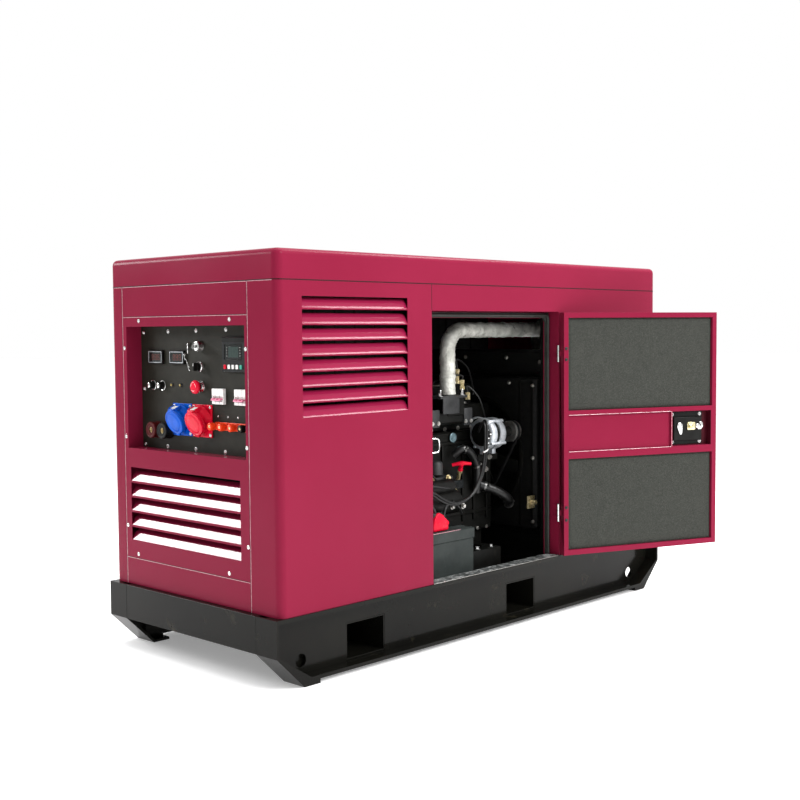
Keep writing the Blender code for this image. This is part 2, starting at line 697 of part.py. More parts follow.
def controller():
    y, z, face = (-0.219, -0.105), (0.677, 0.779), 0.012
    module = part("controller_module", facing(y, z, GAP, face, 0.002), "grey_plastic")
    cut(module, facing((-0.196, -0.118), (0.713, 0.757), face - 0.0015, face + 0.01))
    colours = ("red_plastic", "white_plastic", "white_plastic", "white_plastic", "green_plastic")
    wells = []
    for index, colour in enumerate(colours):
        button_y = -0.121 - index * 0.0185
        wells.append(outward(button_y, 0.692, face - 0.004, face + 0.004, 0.0050, 16))
        part(f"controller_button_{index + 1}",
             outward(button_y, 0.692, face - 0.0025, face + 0.0025, 0.0044, 16), colour,
             origin=(PLATE_X - face, button_y, 0.692))
    cut(module, merged(*wells))


def ignition_key():
    y, z = DEVICE_COLUMN_Y, 0.751
    key = part("ignition_key", outward(y, z, 0.018 + GAP, 0.032, 0.004, 12), "chrome",
               origin=(PLATE_X, y, z))
    bow = rod((PLATE_X - 0.040, y - 0.0015, z), (PLATE_X - 0.040, y + 0.0015, z), 0.012, 18)
    spare = block((PLATE_X - 0.052, PLATE_X - 0.040), (y - 0.001, y + 0.001), (z - 0.058, z - 0.010))
    fuse(key, bow, spare)


def panel_knobs():
    y = DEVICE_COLUMN_Y
    knob = part("selector_knob", outward(y, 0.690, 0.010 + GAP, 0.020, 0.0125, 20), "black_plastic",
                origin=(PLATE_X, y, 0.690))
    fuse(knob, facing((y - 0.003, y + 0.003), (0.678, 0.702), 0.015, 0.030, 0.001))
    estop = part("estop_button", outward(y, 0.630, 0.017, 0.030, 0.020, 28), "red_plastic",
                 origin=(PLATE_X, y, 0.630))
    fuse(estop, outward(y, 0.630, 0.0103, 0.018, 0.010, 16))
    for index, knob_y in enumerate((0.257, 0.207)):
        dial = part(f"adjuster_knob_{index + 1}", outward(knob_y, 0.629, GAP, 0.018, 0.0125, 20, 0.0110),
                    "black_plastic", origin=(PLATE_X, knob_y, 0.629))
        fuse(dial, outward(knob_y, 0.629, 0.017, 0.0195, 0.0075, 16))


def breakers():
    for index, y in enumerate(((-0.107, -0.053), (-0.212, -0.158))):
        body = part(f"breaker_{index + 1}", facing(y, (0.581, 0.627), GAP, 0.010), "white_plastic")
        cut(body, facing((y[0] + 0.003, y[1] - 0.003), (0.589, 0.605), 0.002, 0.02))
        toggle_y = (y[0] + 0.005, y[1] - 0.005)
        axis = (PLATE_X - 0.0045, sum(y) / 2, 0.597)
        toggle = part(f"breaker_toggle_{index + 1}", facing(toggle_y, (0.5945, 0.5995), 0.004, 0.020),
                      "white_plastic", origin=axis)
        fuse(toggle, rod((axis[0], toggle_y[0], axis[2]), (axis[0], toggle_y[1], axis[2]), 0.0022, 12))


def power_socket(name, y, colour):
    """Flange, tilted barrel and sprung lid of an industrial socket."""
    z = 0.528
    tilt = math.radians(LID_TILT_DEG)
    ahead = Vector((-math.cos(tilt), 0, -math.sin(tilt)))
    above = Vector((-math.sin(tilt), 0, math.cos(tilt)))
    root = Vector((PLATE_X, y, z + 0.006))
    socket = part(name, rod(root - ahead * 0.020, root + ahead * 0.030, 0.036, 24), colour)
    cut(socket, facing((y - 0.06, y + 0.06), (z - 0.08, z + 0.08), -0.050, 0.001))
    fuse(socket, facing((y - 0.0475, y + 0.0475), (z - 0.0490, z + 0.0490), GAP, 0.005))
    cut(socket, rod(root + ahead * 0.010, root + ahead * 0.040, 0.030, 24))
    hinge = root + ahead * 0.0335 + above * 0.0395
    lid = part(f"{name}_lid", rod(root + ahead * (0.030 + GAP), root + ahead * 0.040, 0.0385, 28),
               colour, origin=hinge)
    fuse(lid, rod(hinge + Vector((0, -0.014, 0)), hinge + Vector((0, 0.014, 0)), 0.0030, 12))


def weld_sockets():
    for name, y, colour in (("positive", 0.235, "brown_plastic"), ("negative", 0.1770, "black_plastic")):
        body = part(f"weld_socket_{name}", outward(y, 0.491, GAP, 0.030, 0.0245, 24), colour)
        cut(body, outward(y, 0.491, 0.008, 0.04, 0.0095, 16))


def output_terminals():
    z = 0.516
    strip = part("output_terminals", facing((-0.222, -0.056), (z - 0.012, z + 0.012), GAP, 0.003),
                 "orange_plastic")
    fuse(strip, *[outward(-0.068 - index * 0.047, z, 0.002, 0.034, 0.0095, 16) for index in range(4)])


def make_controls():
    control_box()
    control_plate()
    controller()
    ignition_key()
    panel_knobs()
    breakers()
    power_socket("socket_blue", 0.102, "blue_plastic")
    power_socket("socket_red", 0.004, "red_plastic")
    weld_sockets()
    output_terminals()


# ---------------------------------------------------------------- engine and generator
PAN_TOP = FORK_POCKET_Z[1] + GAP + 0.006


def welding_generator():
    y, z = CRANK[0], CRANK[1] + 0.060
    profile = [(0, 0), (0.090, 0), (0.175, 0.030), (0.190, 0.050), (0.190, 0.380), (0.200, 0.385),
               (0.200, 0.4095), (0, 0.4095)]
    drum = part("welding_generator", turned(profile, (-0.670, y, z), (1, 0, 0)), "engine_black")
    feet = [block((x, x + 0.060), (-0.230, 0.230), (PAN_TOP + GAP, z - 0.150)) for x in (-0.620, -0.360)]
    fuse(drum, *feet, block((-0.560, -0.380), (-0.080, 0.080), (z + 0.150, z + 0.230), 0.004, 1))


def engine_block():
    y, z = CRANK
    main = part("engine_block", block((-0.260, 0.270), (-0.150, 0.150), (0.080, 0.440), 0.006, 1),
                "engine_black")
    pan = block((-0.240, 0.250), (-0.125, 0.125), (-0.020, 0.090), 0.010, 1)
    shoes = [block((x, x + 0.060), (-0.220, 0.220), (PAN_TOP + GAP, 0.000)) for x in (-0.180, 0.120)]
    posts = [block((x + 0.010, x + 0.050), (s * 0.20 - 0.02, s * 0.20 + 0.02), (-0.010, 0.030))
             for x in (-0.180, 0.120) for s in (-1, 1)]
    arms = [block((x + 0.010, x + 0.050), (-0.220, 0.220), (0.012, 0.040)) for x in (-0.180, 0.120)]
    plugs = [rod((x, -0.149, 0.420), (x, -0.156, 0.420), 0.017, 16) for x in (-0.120, 0.052)]
    bosses = rod((0.268, y, z), (0.284, y, z), 0.030, 20)
    pump = rod((0.268, FAN_CENTRE[0], FAN_CENTRE[1]), (0.284, FAN_CENTRE[0], FAN_CENTRE[1]), 0.045, 20)
    bracket = block((0.128, 0.235), (-0.206, -0.140), (0.335, 0.358))
    guide = rod(DIPSTICK_FOOT, DIPSTICK_SEAT, 0.0065, 12)
    fuse(main, pan, *shoes, *posts, *arms, *plugs, bosses, pump, bracket, guide)
    along = (Vector(DIPSTICK_SEAT) - Vector(DIPSTICK_FOOT)).normalized()
    cut(main, rod(Vector(DIPSTICK_FOOT) + along * 0.004, Vector(DIPSTICK_SEAT) + along * 0.010, 0.0042, 12))


def cylinder_head():
    """Head, rocker cover and the exhaust manifold with its outlet flange."""
    head = part("cylinder_head", block((-0.255, 0.262), (-0.120, 0.120), (0.4403, 0.530), 0.004, 1),
                "engine_black")
    cover = block((-0.235, 0.240), (-0.085, 0.085), (0.520, 0.600), 0.012, 2)
    manifold = block((-0.225, 0.119), (-0.190, -0.110), (0.470, 0.518), 0.008, 1)
    outlet = block((-0.015, 0.070), (-0.197, -0.113), (0.500, 0.562), 0.003, 1)
    fuse(head, cover, manifold, outlet)


def exhaust_pipe():
    y, x, top, bend = -0.155, 0.028, 0.793, 0.070
    corner = [(x + bend - bend * math.cos(a), y, top - bend + bend * math.sin(a))
              for a in [math.radians(15 * i) for i in range(7)]]
    route = [(x, y, 0.5625), (x, y, 0.640), *corner, (0.300, y, top), (0.5997, y, top)]
    part("exhaust_pipe", tube(route, PIPE_RADIUS, 4), "lagging")


def muffler():
    y, z = -0.155, 0.760
    profile = [(0, 0), (0.075, 0), (0.090, 0.012), (0.090, 0.288), (0.075, 0.300), (0, 0.300)]
    drum = part("muffler", turned(profile, (0.600, y, z), (1, 0, 0)), "steel")
    fuse(drum, rod((0.890, y, z), (0.965, y, z), 0.026, 20))
    cut(drum, rod((0.905, y, z), (0.980, y, z), 0.023, 20))


def radiator():
    """Core, tanks and the shroud that rings the fan, on a frame standing in the pan."""
    core = part("radiator", block((0.430, 0.490), (-0.300, 0.300), (PAN_TOP + GAP, 0.640)), "engine_black")
    tanks = [block((0.420, 0.500), (-0.290, 0.290), (0.630, 0.720), 0.010, 1),
             block((0.424, 0.496), (-0.306, 0.306), (PAN_TOP + GAP, 0.040))]
    shroud = block((0.372, 0.432), (-0.270, 0.270), (0.070, 0.620), 0.012, 1)
    fuse(core, *tanks, shroud)
    cut(core, rod((0.300, *FAN_CENTRE), (0.428, *FAN_CENTRE), 0.205, 32))


def cooling_fan():
    """Fan with its hub and belt pulley, turning together on the water pump."""
    y, z = FAN_CENTRE
    groove = PULLEY_RADII["fan"]
    profile = [(0, 0), (groove + 0.006, 0), (groove + 0.006, 0.0083), (groove, 0.0085), (groove, 0.0195),
               (groove + 0.006, 0.0197), (groove + 0.006, 0.026), (0.030, 0.028), (0.030, 0.110), (0, 0.110)]
    fan = part("cooling_fan", turned(profile, (0.2845, y, z), (1, 0, 0), 24), "black_plastic",
               origin=(0.2845, y, z))
    blades = []
    for index in range(7):
        blade = block((-0.003, 0.003), (-0.034, 0.034), (0.024, 0.190), 0.002, 1)
        blade.transform(Matrix.Translation((0.382, y, z)) @ Matrix.Rotation(math.tau * index / 7, 4, "X")
                        @ Matrix.Rotation(math.radians(28), 4, "Z"))
        blades.append(blade)
    fuse(fan, *blades)


def belt_pulley(name, centre, groove, start_x):
    y, z = centre
    rim, flange = groove + 0.006, 0.0083
    profile = [(0, 0), (rim, 0), (rim, flange), (groove, flange + 0.0002), (groove, 0.0195),
               (rim, 0.0197), (rim, 0.028), (0, 0.028)]
    part(name, turned(profile, (start_x, y, z), (1, 0, 0), 28), "steel", origin=(start_x, y, z))


def belt_outline(extra):
    """Round the pulleys clockwise: crank, alternator, fan, with straight runs between."""
    circles = [(CRANK, PULLEY_RADII["crank"]), (FAN_CENTRE, PULLEY_RADII["fan"]),
               (ALTERNATOR, PULLEY_RADII["alternator"])]
    points = []
    count = len(circles)
    for index in range(count):
        centre, radius = circles[index]
        radius += extra
        before, after = circles[index - 1], circles[(index + 1) % count]
        angles = []
        for other, outgoing in ((before, False), (after, True)):
            pair = (other[0], centre) if not outgoing else (centre, other[0])
            dy, dz = pair[1][0] - pair[0][0], pair[1][1] - pair[0][1]
            run = math.hypot(dy, dz)
            radii = (other[1] + extra, radius) if not outgoing else (radius, other[1] + extra)
            angles.append(math.atan2(dz, dy) - math.acos((radii[0] - radii[1]) / run))
        start, end = angles
        while end < start:
            end += math.tau
        steps = max(3, int(math.degrees(end - start) / 15))
        points += arc(centre, radius, math.degrees(start), math.degrees(end), steps)
    return points


def drive_belt():
    outside = outline(belt_outline(BELT_CLEARANCE + BELT_THICKNESS), "X", *BELT_X)
    belt = part("drive_belt", outside, "black_rubber")
    cut(belt, outline(belt_outline(BELT_CLEARANCE), "X", BELT_X[0] - 0.01, BELT_X[1] + 0.01))


def charging_alternator():
    y, z = ALTERNATOR
    start, radius, neck = 0.125, 0.056, 0.052
    shaft, end = 0.018, 0.159
    profile = [(0, 0), (0.040, 0), (radius - 0.002, 0.010), (radius, 0.034), (neck, 0.035), (neck, 0.047),
               (radius, 0.048), (radius, 0.078), (0.044, 0.092), (shaft, 0.098), (shaft, end), (0, end)]
    body = part("charging_alternator", turned(profile, (start, y, z), (1, 0, 0), 28), "aluminium")
    ears = [block((x, x + 0.018), (y - 0.012, y + 0.012), (z - 0.0715, z - 0.045), 0.002, 1)
            for x in (start + 0.012, start + 0.055)]
    fuse(body, *ears)


def dipstick():
    """T handle and blade that pull out of the guide tube on the block."""
    seat = Vector(DIPSTICK_SEAT)
    along = (seat - Vector(DIPSTICK_FOOT)).normalized()
    base = seat + along * GAP
    stick = part("dipstick", rod(base, base + along * 0.030, 0.0060, 12), "red_plastic",
                 origin=base)
    across = Vector((0.72, -0.69, 0.05)).normalized()
    grip = base + along * 0.032
    blade = rod(base - along * 0.090, base + along * 0.004, 0.0030, 10)
    fuse(stick, rod(grip - across * 0.032, grip + across * 0.032, 0.0060, 12), blade)


def starter_motor():
    y, z = -0.205, 0.210
    body = part("starter_motor", rod((-0.180, y, z), (0.000, y, z), 0.042, 24), "engine_black")
    solenoid = rod((-0.150, y - 0.012, z + 0.056), (-0.030, y - 0.012, z + 0.056), 0.024, 20)
    nose = block((-0.230, -0.170), (-0.240, -0.1503), (z - 0.050, z + 0.060), 0.008, 1)
    fuse(body, solenoid, nose)


def battery():
    x, top = (-0.215, 0.004), 0.127
    box = part("battery", block(x, (-0.290, -0.225), (PAN_TOP + GAP, top - 0.031), 0.002, 1),
               "black_plastic")
    lid = block((x[0] - 0.003, x[1] + 0.003), (-0.293, -0.223), (top - 0.035, top), 0.002, 1)
    terminal = block((-0.165, -0.105), (-0.264, -0.2425), (top - 0.002, top + 0.062), 0.005, 1)
    fuse(box, lid, terminal)


def alternator_cables():
    """Two cables, tied together, from the alternator down and back to the starter."""
    route = [(0.119, -0.226, 0.462), (0.116, -0.247, 0.480), (0.109, -0.262, 0.455),
             (0.104, -0.262, 0.366), (0.085, -0.262, 0.300), (0.040, -0.262, 0.240),
             (-0.020, -0.262, 0.215), (-0.075, -0.262, 0.216),
             (-0.130, -0.262, 0.238), (-0.170, -0.268, 0.258), (-0.197, -0.263, 0.254),
             (-0.200, -0.2450, 0.250)]
    shift = Vector((-0.011, 0.0, -0.004))
    first = smooth_route(route, 3)
    second_route = [Vector(route[0]) + Vector((0, 0.012, -0.024))] + [
        Vector(p) + shift for p in route[1:]]
    cable = part("alternator_cables", tube(first, 0.0045), "black_rubber")
    ties = [rod((x, -0.262, z), (x - dx, -0.262, z - dz), 0.012, 12)
            for x, z, dx, dz in ((0.1000, 0.372, 0.001, 0.006), (0.0400, 0.243, 0.005, 0.004))]
    fuse(cable, tube(smooth_route(second_route, 3), 0.0045), *ties)


def fuel_tank():
    tank = part("fuel_tank", block((-0.260, 0.360), (0.235, 0.345), (PAN_TOP + GAP, 0.300), 0.012, 2),
                "black_plastic")
    fuse(tank, rod((0.280, 0.290, 0.299), (0.280, 0.290, 0.325), 0.030, 20))


def make_power_unit():
    welding_generator()
    engine_block()
    cylinder_head()
    exhaust_pipe()
    muffler()
    radiator()
    cooling_fan()
    belt_pulley("crank_pulley", CRANK, PULLEY_RADII["crank"], 0.2845)
    belt_pulley("alternator_pulley", ALTERNATOR, PULLEY_RADII["alternator"], 0.2845)
    drive_belt()
    charging_alternator()
    dipstick()
    starter_motor()
    battery()
    alternator_cables()
    fuel_tank()


def plan_shift():
    """Sideways move that centres the plan: the open door's far corner against the skid."""
    turn = math.radians(DOOR_OPEN_DEG)
    reach = HINGE_AXIS[1] + DOOR_X[0] * math.sin(turn) + DOOR_Y[1] * math.cos(turn)
    return -(reach + SKID_HALF_Y) / 2


clear_scene()
PARTS = new_collection("engine_driven_welder")
CUTTERS = new_collection("cutters")
MADE = make_materials()
MACHINE = empty("machine", (0, plan_shift(), SKID_HEIGHT))
make_skid()
make_housing()
make_door()
make_controls()
make_power_unit()
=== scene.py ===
"""Looks of the engine driven welder: finishes, fittings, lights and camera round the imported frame.

Machine coordinates are in millimetres: X runs along the length, the engine door is on the -Y side and Z
is measured from the top of the skid. PLACE turns them into the frame's metres. DOOR does it for the
door's pieces, measured from the hinge with the door shut: -X along the door and +Y into the machine.
"""
import json
from math import copysign, cos, exp, radians, sin, sqrt, tau

import bmesh
import bpy
from mathutils import Matrix, Vector, noise

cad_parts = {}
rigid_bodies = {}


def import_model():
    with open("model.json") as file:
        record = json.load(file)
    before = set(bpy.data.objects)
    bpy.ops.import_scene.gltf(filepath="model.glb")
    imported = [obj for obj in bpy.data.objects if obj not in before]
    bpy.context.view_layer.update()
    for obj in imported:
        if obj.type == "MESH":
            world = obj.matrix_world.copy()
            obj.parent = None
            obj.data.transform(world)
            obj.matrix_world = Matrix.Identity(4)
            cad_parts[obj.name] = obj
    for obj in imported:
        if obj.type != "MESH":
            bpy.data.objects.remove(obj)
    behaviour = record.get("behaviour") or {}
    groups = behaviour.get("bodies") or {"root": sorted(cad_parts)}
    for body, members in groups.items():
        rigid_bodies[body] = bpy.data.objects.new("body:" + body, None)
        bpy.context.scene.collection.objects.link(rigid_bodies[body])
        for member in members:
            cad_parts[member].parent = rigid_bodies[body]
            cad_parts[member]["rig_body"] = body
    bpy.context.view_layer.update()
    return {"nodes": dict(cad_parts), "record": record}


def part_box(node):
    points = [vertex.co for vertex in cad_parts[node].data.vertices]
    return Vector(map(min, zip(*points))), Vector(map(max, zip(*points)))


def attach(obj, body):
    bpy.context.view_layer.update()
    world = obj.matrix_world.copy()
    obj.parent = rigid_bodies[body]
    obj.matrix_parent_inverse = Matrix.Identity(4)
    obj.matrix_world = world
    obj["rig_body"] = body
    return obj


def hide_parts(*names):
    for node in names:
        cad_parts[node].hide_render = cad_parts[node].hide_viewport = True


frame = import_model()

MM = 0.001
RIGHT, FRONT, REAR, UP = (1, 0, 0), (0, -1, 0), (0, 1, 0), (0, 0, 1)
# The housing: half length, half width, top of the panels, top of the roof and the open door's hinge
END_X, SIDE_Y, PANEL_TOP, ROOF_TOP = 950, 406, 935.5, 1022
HINGE = (325, -406.5, 0)
DOOR_REST_DEG = 156.5
# Joints of the removable panels in the two ends
JOINT_Y, JOINT_Z = (-277, 340), (86, 842)
# The control plate's face, the way out of it, and where its devices sit across and up it
PLATE_X, OUT = -895, Vector((-1, 0, 0))
KEY_AT, SELECTOR_AT, STOP_AT = (10, 751), (10, 690), (10, 630)
DIALS_Y, DIALS_Z = (257, 207), 629
LAMPS_AT = ((158, 632), (113, 632))
METERS_Y, METERS_Z = ((198, 272), (87, 160)), (697, 737)
SOCKETS_Z, SOCKET_TILT_DEG = 534, 20
WELD_SOCKETS_Z, TERMINALS_Z, TERMINALS_APART = 491, 516, 47

roof_low, roof_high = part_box("roof_cover")
machine_zero = Vector((0, (roof_low.y + roof_high.y) / 2, roof_high.z - ROOF_TOP * MM))
PLACE = Matrix.Translation(machine_zero) @ Matrix.Scale(MM, 4)
DOOR = PLACE @ Matrix.Translation(HINGE) @ Matrix.Rotation(radians(DOOR_REST_DEG), 4, "Z")


# ---------------------------------------------------------------- materials
def settings(node, **values):
    """Sets the node's inputs; a double underscore in a name stands for a space."""
    for name, value in values.items():
        node.inputs[name.replace("__", " ")].default_value = value


def surface(name, dark, light, rough, mottle, grain, bump, metal=0.0, depth=0.0003, coat=0.0,
        stretch=(1, 1, 1), speck=None, emission=0.0, spec=0.5):
    """A mottled finish: two close tones, uneven gloss, fine bump and, if given, specks of a third tone."""
    material = bpy.data.materials.new(name)
    material.use_nodes = True
    nodes, links = material.node_tree.nodes, material.node_tree.links
    shader = nodes["Principled BSDF"]
    coords = nodes.new("ShaderNodeTexCoord")
    mapping = nodes.new("ShaderNodeMapping")
    settings(mapping, Scale=stretch)
    links.new(coords.outputs["Object"], mapping.inputs["Vector"])

    def clouds(scale, detail, roughness=0.55):
        texture = nodes.new("ShaderNodeTexNoise")
        settings(texture, Scale=scale, Detail=detail, Roughness=roughness)
        links.new(mapping.outputs["Vector"], texture.inputs["Vector"])
        return texture.outputs["Fac"]

    wide, fine = clouds(mottle, 5), clouds(grain, 2)
    ramp = nodes.new("ShaderNodeValToRGB")
    for stop, position, tone in zip(ramp.color_ramp.elements, (0.32, 0.68), (dark, light)):
        stop.position = position
        stop.color = (*tone, 1)
    links.new(wide, ramp.inputs["Fac"])
    colour = ramp.outputs["Color"]
    if speck:
        tone, scale, low, high = speck
        mask = nodes.new("ShaderNodeMapRange")
        settings(mask, From__Min=low, From__Max=high)
        links.new(clouds(scale, 4, 0.65), mask.inputs["Value"])
        mix = nodes.new("ShaderNodeMix")
        mix.data_type = "RGBA"
        mix.inputs["B"].default_value = (*tone, 1)
        links.new(mask.outputs["Result"], mix.inputs["Factor"])
        links.new(colour, mix.inputs["A"])
        colour = mix.outputs["Result"]
    links.new(colour, shader.inputs["Base Color"])
    gloss = nodes.new("ShaderNodeMapRange")
    settings(gloss, From__Min=0.3, From__Max=0.7, To__Min=rough[0], To__Max=rough[1])
    links.new(clouds(mottle * 3.1, 3), gloss.inputs["Value"])
    links.new(gloss.outputs["Result"], shader.inputs["Roughness"])
    relief = nodes.new("ShaderNodeBump")
    settings(relief, Strength=bump, Distance=depth)
    links.new(fine, relief.inputs["Height"])
    links.new(relief.outputs["Normal"], shader.inputs["Normal"])
    settings(shader, Metallic=metal, Specular__IOR__Level=spec, Coat__Weight=coat, Coat__Roughness=0.05)
    if emission:
        links.new(colour, shader.inputs["Emission Color"])
        shader.inputs["Emission Strength"].default_value = emission
    return material


# Dark tone, light tone, range of roughness, scale of the mottling, scale of the grain, bump, and the rest
FINISHES = {
    "crimson_paint": ((0.176, 0.0086, 0.0295), (0.196, 0.0108, 0.035), (0.21, 0.27), 1.7, 150, 0.03,
        dict(depth=0.0002, spec=0.05)),
    "crimson_gloss": ((0.172, 0.0072, 0.0275), (0.19, 0.0094, 0.033), (0.1, 0.15), 3.0, 150, 0.04,
        dict(depth=0.0002, spec=0.5)),
    # The side blades' look is the panel paint made lighter: painted light where the light falls on the
    # blades
    "crimson_blade": ((0.225, 0.008, 0.04), (0.25, 0.0105, 0.047), (0.12, 0.18), 3.0, 150, 0.04,
        dict(depth=0.0002, spec=0.16)),
    # The tan blotches on the black paint are painted reflections of the floor and surroundings in the gloss
    "black_paint": ((0.0035, 0.0034, 0.0028), (0.0075, 0.0072, 0.0056), (0.12, 0.22), 3.2, 160, 0.05,
        dict(spec=0.1, speck=((0.03, 0.026, 0.016), 11, 0.62, 0.82))),
    "panel_black": ((0.0125, 0.012, 0.0085), (0.0185, 0.0175, 0.013), (0.38, 0.5), 20, 900, 0.1,
        dict(depth=0.0002, spec=0.14)),
    "engine_black": ((0.0016, 0.0017, 0.0013), (0.0048, 0.0048, 0.004), (0.34, 0.6), 14, 420, 0.35,
        dict(depth=0.0006, spec=0.14, speck=((0.022, 0.021, 0.017), 60, 0.62, 0.8))),
    "foam_grey": ((0.026, 0.0275, 0.024), (0.031, 0.0325, 0.0285), (0.9, 1.0), 30, 520, 0.9,
        dict(depth=0.0014, spec=0.1, speck=((0.066, 0.068, 0.06), 420, 0.46, 0.66))),
    "seal_rubber": ((0.014, 0.017, 0.014), (0.026, 0.03, 0.026), (0.42, 0.6), 30, 700, 0.2,
        dict(spec=0.35)),
    "black_plastic": ((0.004, 0.004, 0.0036), (0.008, 0.008, 0.0074), (0.28, 0.42), 30, 1400, 0.1,
        dict(spec=0.14)),
    "grey_plastic": ((0.004, 0.0055, 0.006), (0.0075, 0.0095, 0.0102), (0.3, 0.42), 30, 1400, 0.1,
        dict(spec=0.2)),
    "battery_grey": ((0.024, 0.029, 0.028), (0.036, 0.042, 0.04), (0.38, 0.55), 18, 900, 0.3,
        dict(spec=0.12, speck=((0.07, 0.072, 0.066), 40, 0.62, 0.85))),
    "white_plastic": ((0.78, 0.77, 0.75), (0.88, 0.88, 0.86), (0.28, 0.4), 40, 1400, 0.1, {}),
    "pink_plastic": ((0.7, 0.19, 0.31), (0.84, 0.3, 0.44), (0.28, 0.4), 60, 1400, 0.1, {}),
    "red_plastic": ((0.55, 0.003, 0.02), (0.68, 0.0065, 0.034), (0.18, 0.28), 40, 1200, 0.1,
        dict(spec=0.15)),
    "blue_plastic": ((0.0008, 0.07, 0.44), (0.0022, 0.1, 0.58), (0.18, 0.28), 40, 1200, 0.1,
        dict(spec=0.12)),
    "orange_plastic": ((0.7, 0.034, 0.006), (0.84, 0.062, 0.012), (0.25, 0.36), 60, 1200, 0.1,
        dict(spec=0.2)),
    "brown_plastic": ((0.04, 0.0022, 0.003), (0.075, 0.005, 0.0056), (0.26, 0.42), 60, 1000, 0.3,
        dict(spec=0.12)),
    "green_plastic": ((0.012, 0.25, 0.17), (0.02, 0.36, 0.25), (0.3, 0.4), 60, 1200, 0.1, {}),
    "amber_plastic": ((0.26, 0.19, 0.04), (0.38, 0.29, 0.08), (0.15, 0.25), 90, 1200, 0.1, {}),
    "chrome": ((0.62, 0.62, 0.61), (0.82, 0.82, 0.81), (0.1, 0.22), 80, 1500, 0.05, dict(metal=1.0)),
    "steel": ((0.36, 0.35, 0.33), (0.56, 0.55, 0.52), (0.28, 0.45), 60, 900, 0.15,
        dict(metal=1.0, speck=((0.16, 0.13, 0.1), 130, 0.6, 0.75))),
    "dark_steel": ((0.1, 0.1, 0.1), (0.2, 0.2, 0.19), (0.28, 0.45), 60, 900, 0.15, dict(metal=1.0)),
    "yellow_zinc": ((0.58, 0.5, 0.26), (0.82, 0.76, 0.5), (0.2, 0.35), 90, 900, 0.1, dict(metal=1.0)),
    "brass": ((0.52, 0.4, 0.18), (0.78, 0.68, 0.42), (0.22, 0.36), 70, 900, 0.15,
        dict(metal=0.5, speck=((0.14, 0.09, 0.05), 160, 0.6, 0.78))),
    "aluminium": ((0.42, 0.45, 0.48), (0.64, 0.67, 0.7), (0.36, 0.52), 45, 700, 0.4,
        dict(metal=0.75, depth=0.0004, speck=((0.14, 0.15, 0.17), 150, 0.6, 0.8))),
    "cast_grey": ((0.012, 0.0125, 0.013), (0.028, 0.029, 0.03), (0.4, 0.58), 40, 600, 0.5,
        dict(depth=0.0006, spec=0.3, speck=((0.07, 0.07, 0.07), 120, 0.6, 0.85))),
    "lagging": ((0.36, 0.36, 0.32), (0.78, 0.78, 0.72), (0.3, 0.5), 26, 190, 0.9,
        dict(metal=0.25, depth=0.003, speck=((0.075, 0.066, 0.045), 48, 0.6, 0.76))),
    "black_rubber": ((0.0035, 0.0035, 0.0035), (0.0085, 0.0085, 0.0085), (0.3, 0.46), 60, 900, 0.25,
        dict(spec=0.35)),
    "scuffed_sill": ((0.016, 0.018, 0.018), (0.05, 0.054, 0.052), (0.3, 0.5), 30, 400, 0.4,
        dict(speck=((0.46, 0.48, 0.47), 75, 0.5, 0.66))),
    # Painted light: a painted highlight for edges that catch the light, then painted shade for seams and
    # gaps, then painted shade for the latch pocket
    "painted_edge_highlight": ((0.5, 0.2, 0.26), (0.72, 0.45, 0.48), (0.2, 0.3), 120, 900, 0.1, dict(coat=0.4)),
    "seam_shadow": ((0.016, 0.001, 0.003), (0.03, 0.002, 0.005), (0.6, 0.8), 60, 700, 0.2, dict(spec=0.2)),
    "pocket_shade_crimson": ((0.04, 0.0015, 0.0055), (0.06, 0.0025, 0.0085), (0.4, 0.6), 20, 700, 0.2,
        dict(spec=0.2)),
    "dark_lining": ((0.0022, 0.0022, 0.0018), (0.0048, 0.0048, 0.004), (0.75, 0.95), 12, 500, 0.6,
        dict(depth=0.001, spec=0.15, speck=((0.014, 0.014, 0.011), 300, 0.58, 0.8))),
    "screen_glass": ((0.004, 0.006, 0.006), (0.008, 0.011, 0.01), (0.05, 0.12), 60, 900, 0.02,
        dict(spec=0.35)),
    "lcd_grey": ((0.016, 0.032, 0.028), (0.026, 0.046, 0.04), (0.12, 0.2), 160, 900, 0.05, dict(spec=0.35)),
    "led_red": ((0.1, 0.022, 0.018), (0.18, 0.04, 0.03), (0.2, 0.3), 200, 900, 0.05, {}),
    "coolant_blue": ((0.1, 0.16, 0.18), (0.17, 0.25, 0.28), (0.25, 0.4), 90, 900, 0.2, dict(metal=0.5)),
    "radiator_core": ((0.003, 0.003, 0.003), (0.008, 0.008, 0.0075), (0.4, 0.6), 20, 260, 0.9,
        dict(depth=0.002, stretch=(1, 1, 8), spec=0.25)),
}
LOOK = {name: surface(name, *finish, **rest) for name, (*finish, rest) in FINISHES.items()}
# The record's slot of each node, and the slot a look stands for where their names differ
SLOT_OF = {entry["node"]: entry["material_slot"] for entry in frame["record"]["subparts"]}
SLOT_OF_LOOK = {
    "cast_grey": "engine_black", "dark_lining": "engine_black", "painted_edge_highlight": "crimson_paint",
    "seam_shadow": "crimson_paint", "pocket_shade_crimson": "crimson_paint", "dark_steel": "steel",
    "coolant_blue": "steel", "yellow_zinc": "steel", "pink_plastic": "white_plastic",
    "screen_glass": "black_plastic", "scuffed_sill": "black_paint", "amber_plastic": "orange_plastic",
    "lcd_grey": "green_plastic", "led_red": "red_plastic", "battery_grey": "black_plastic"}


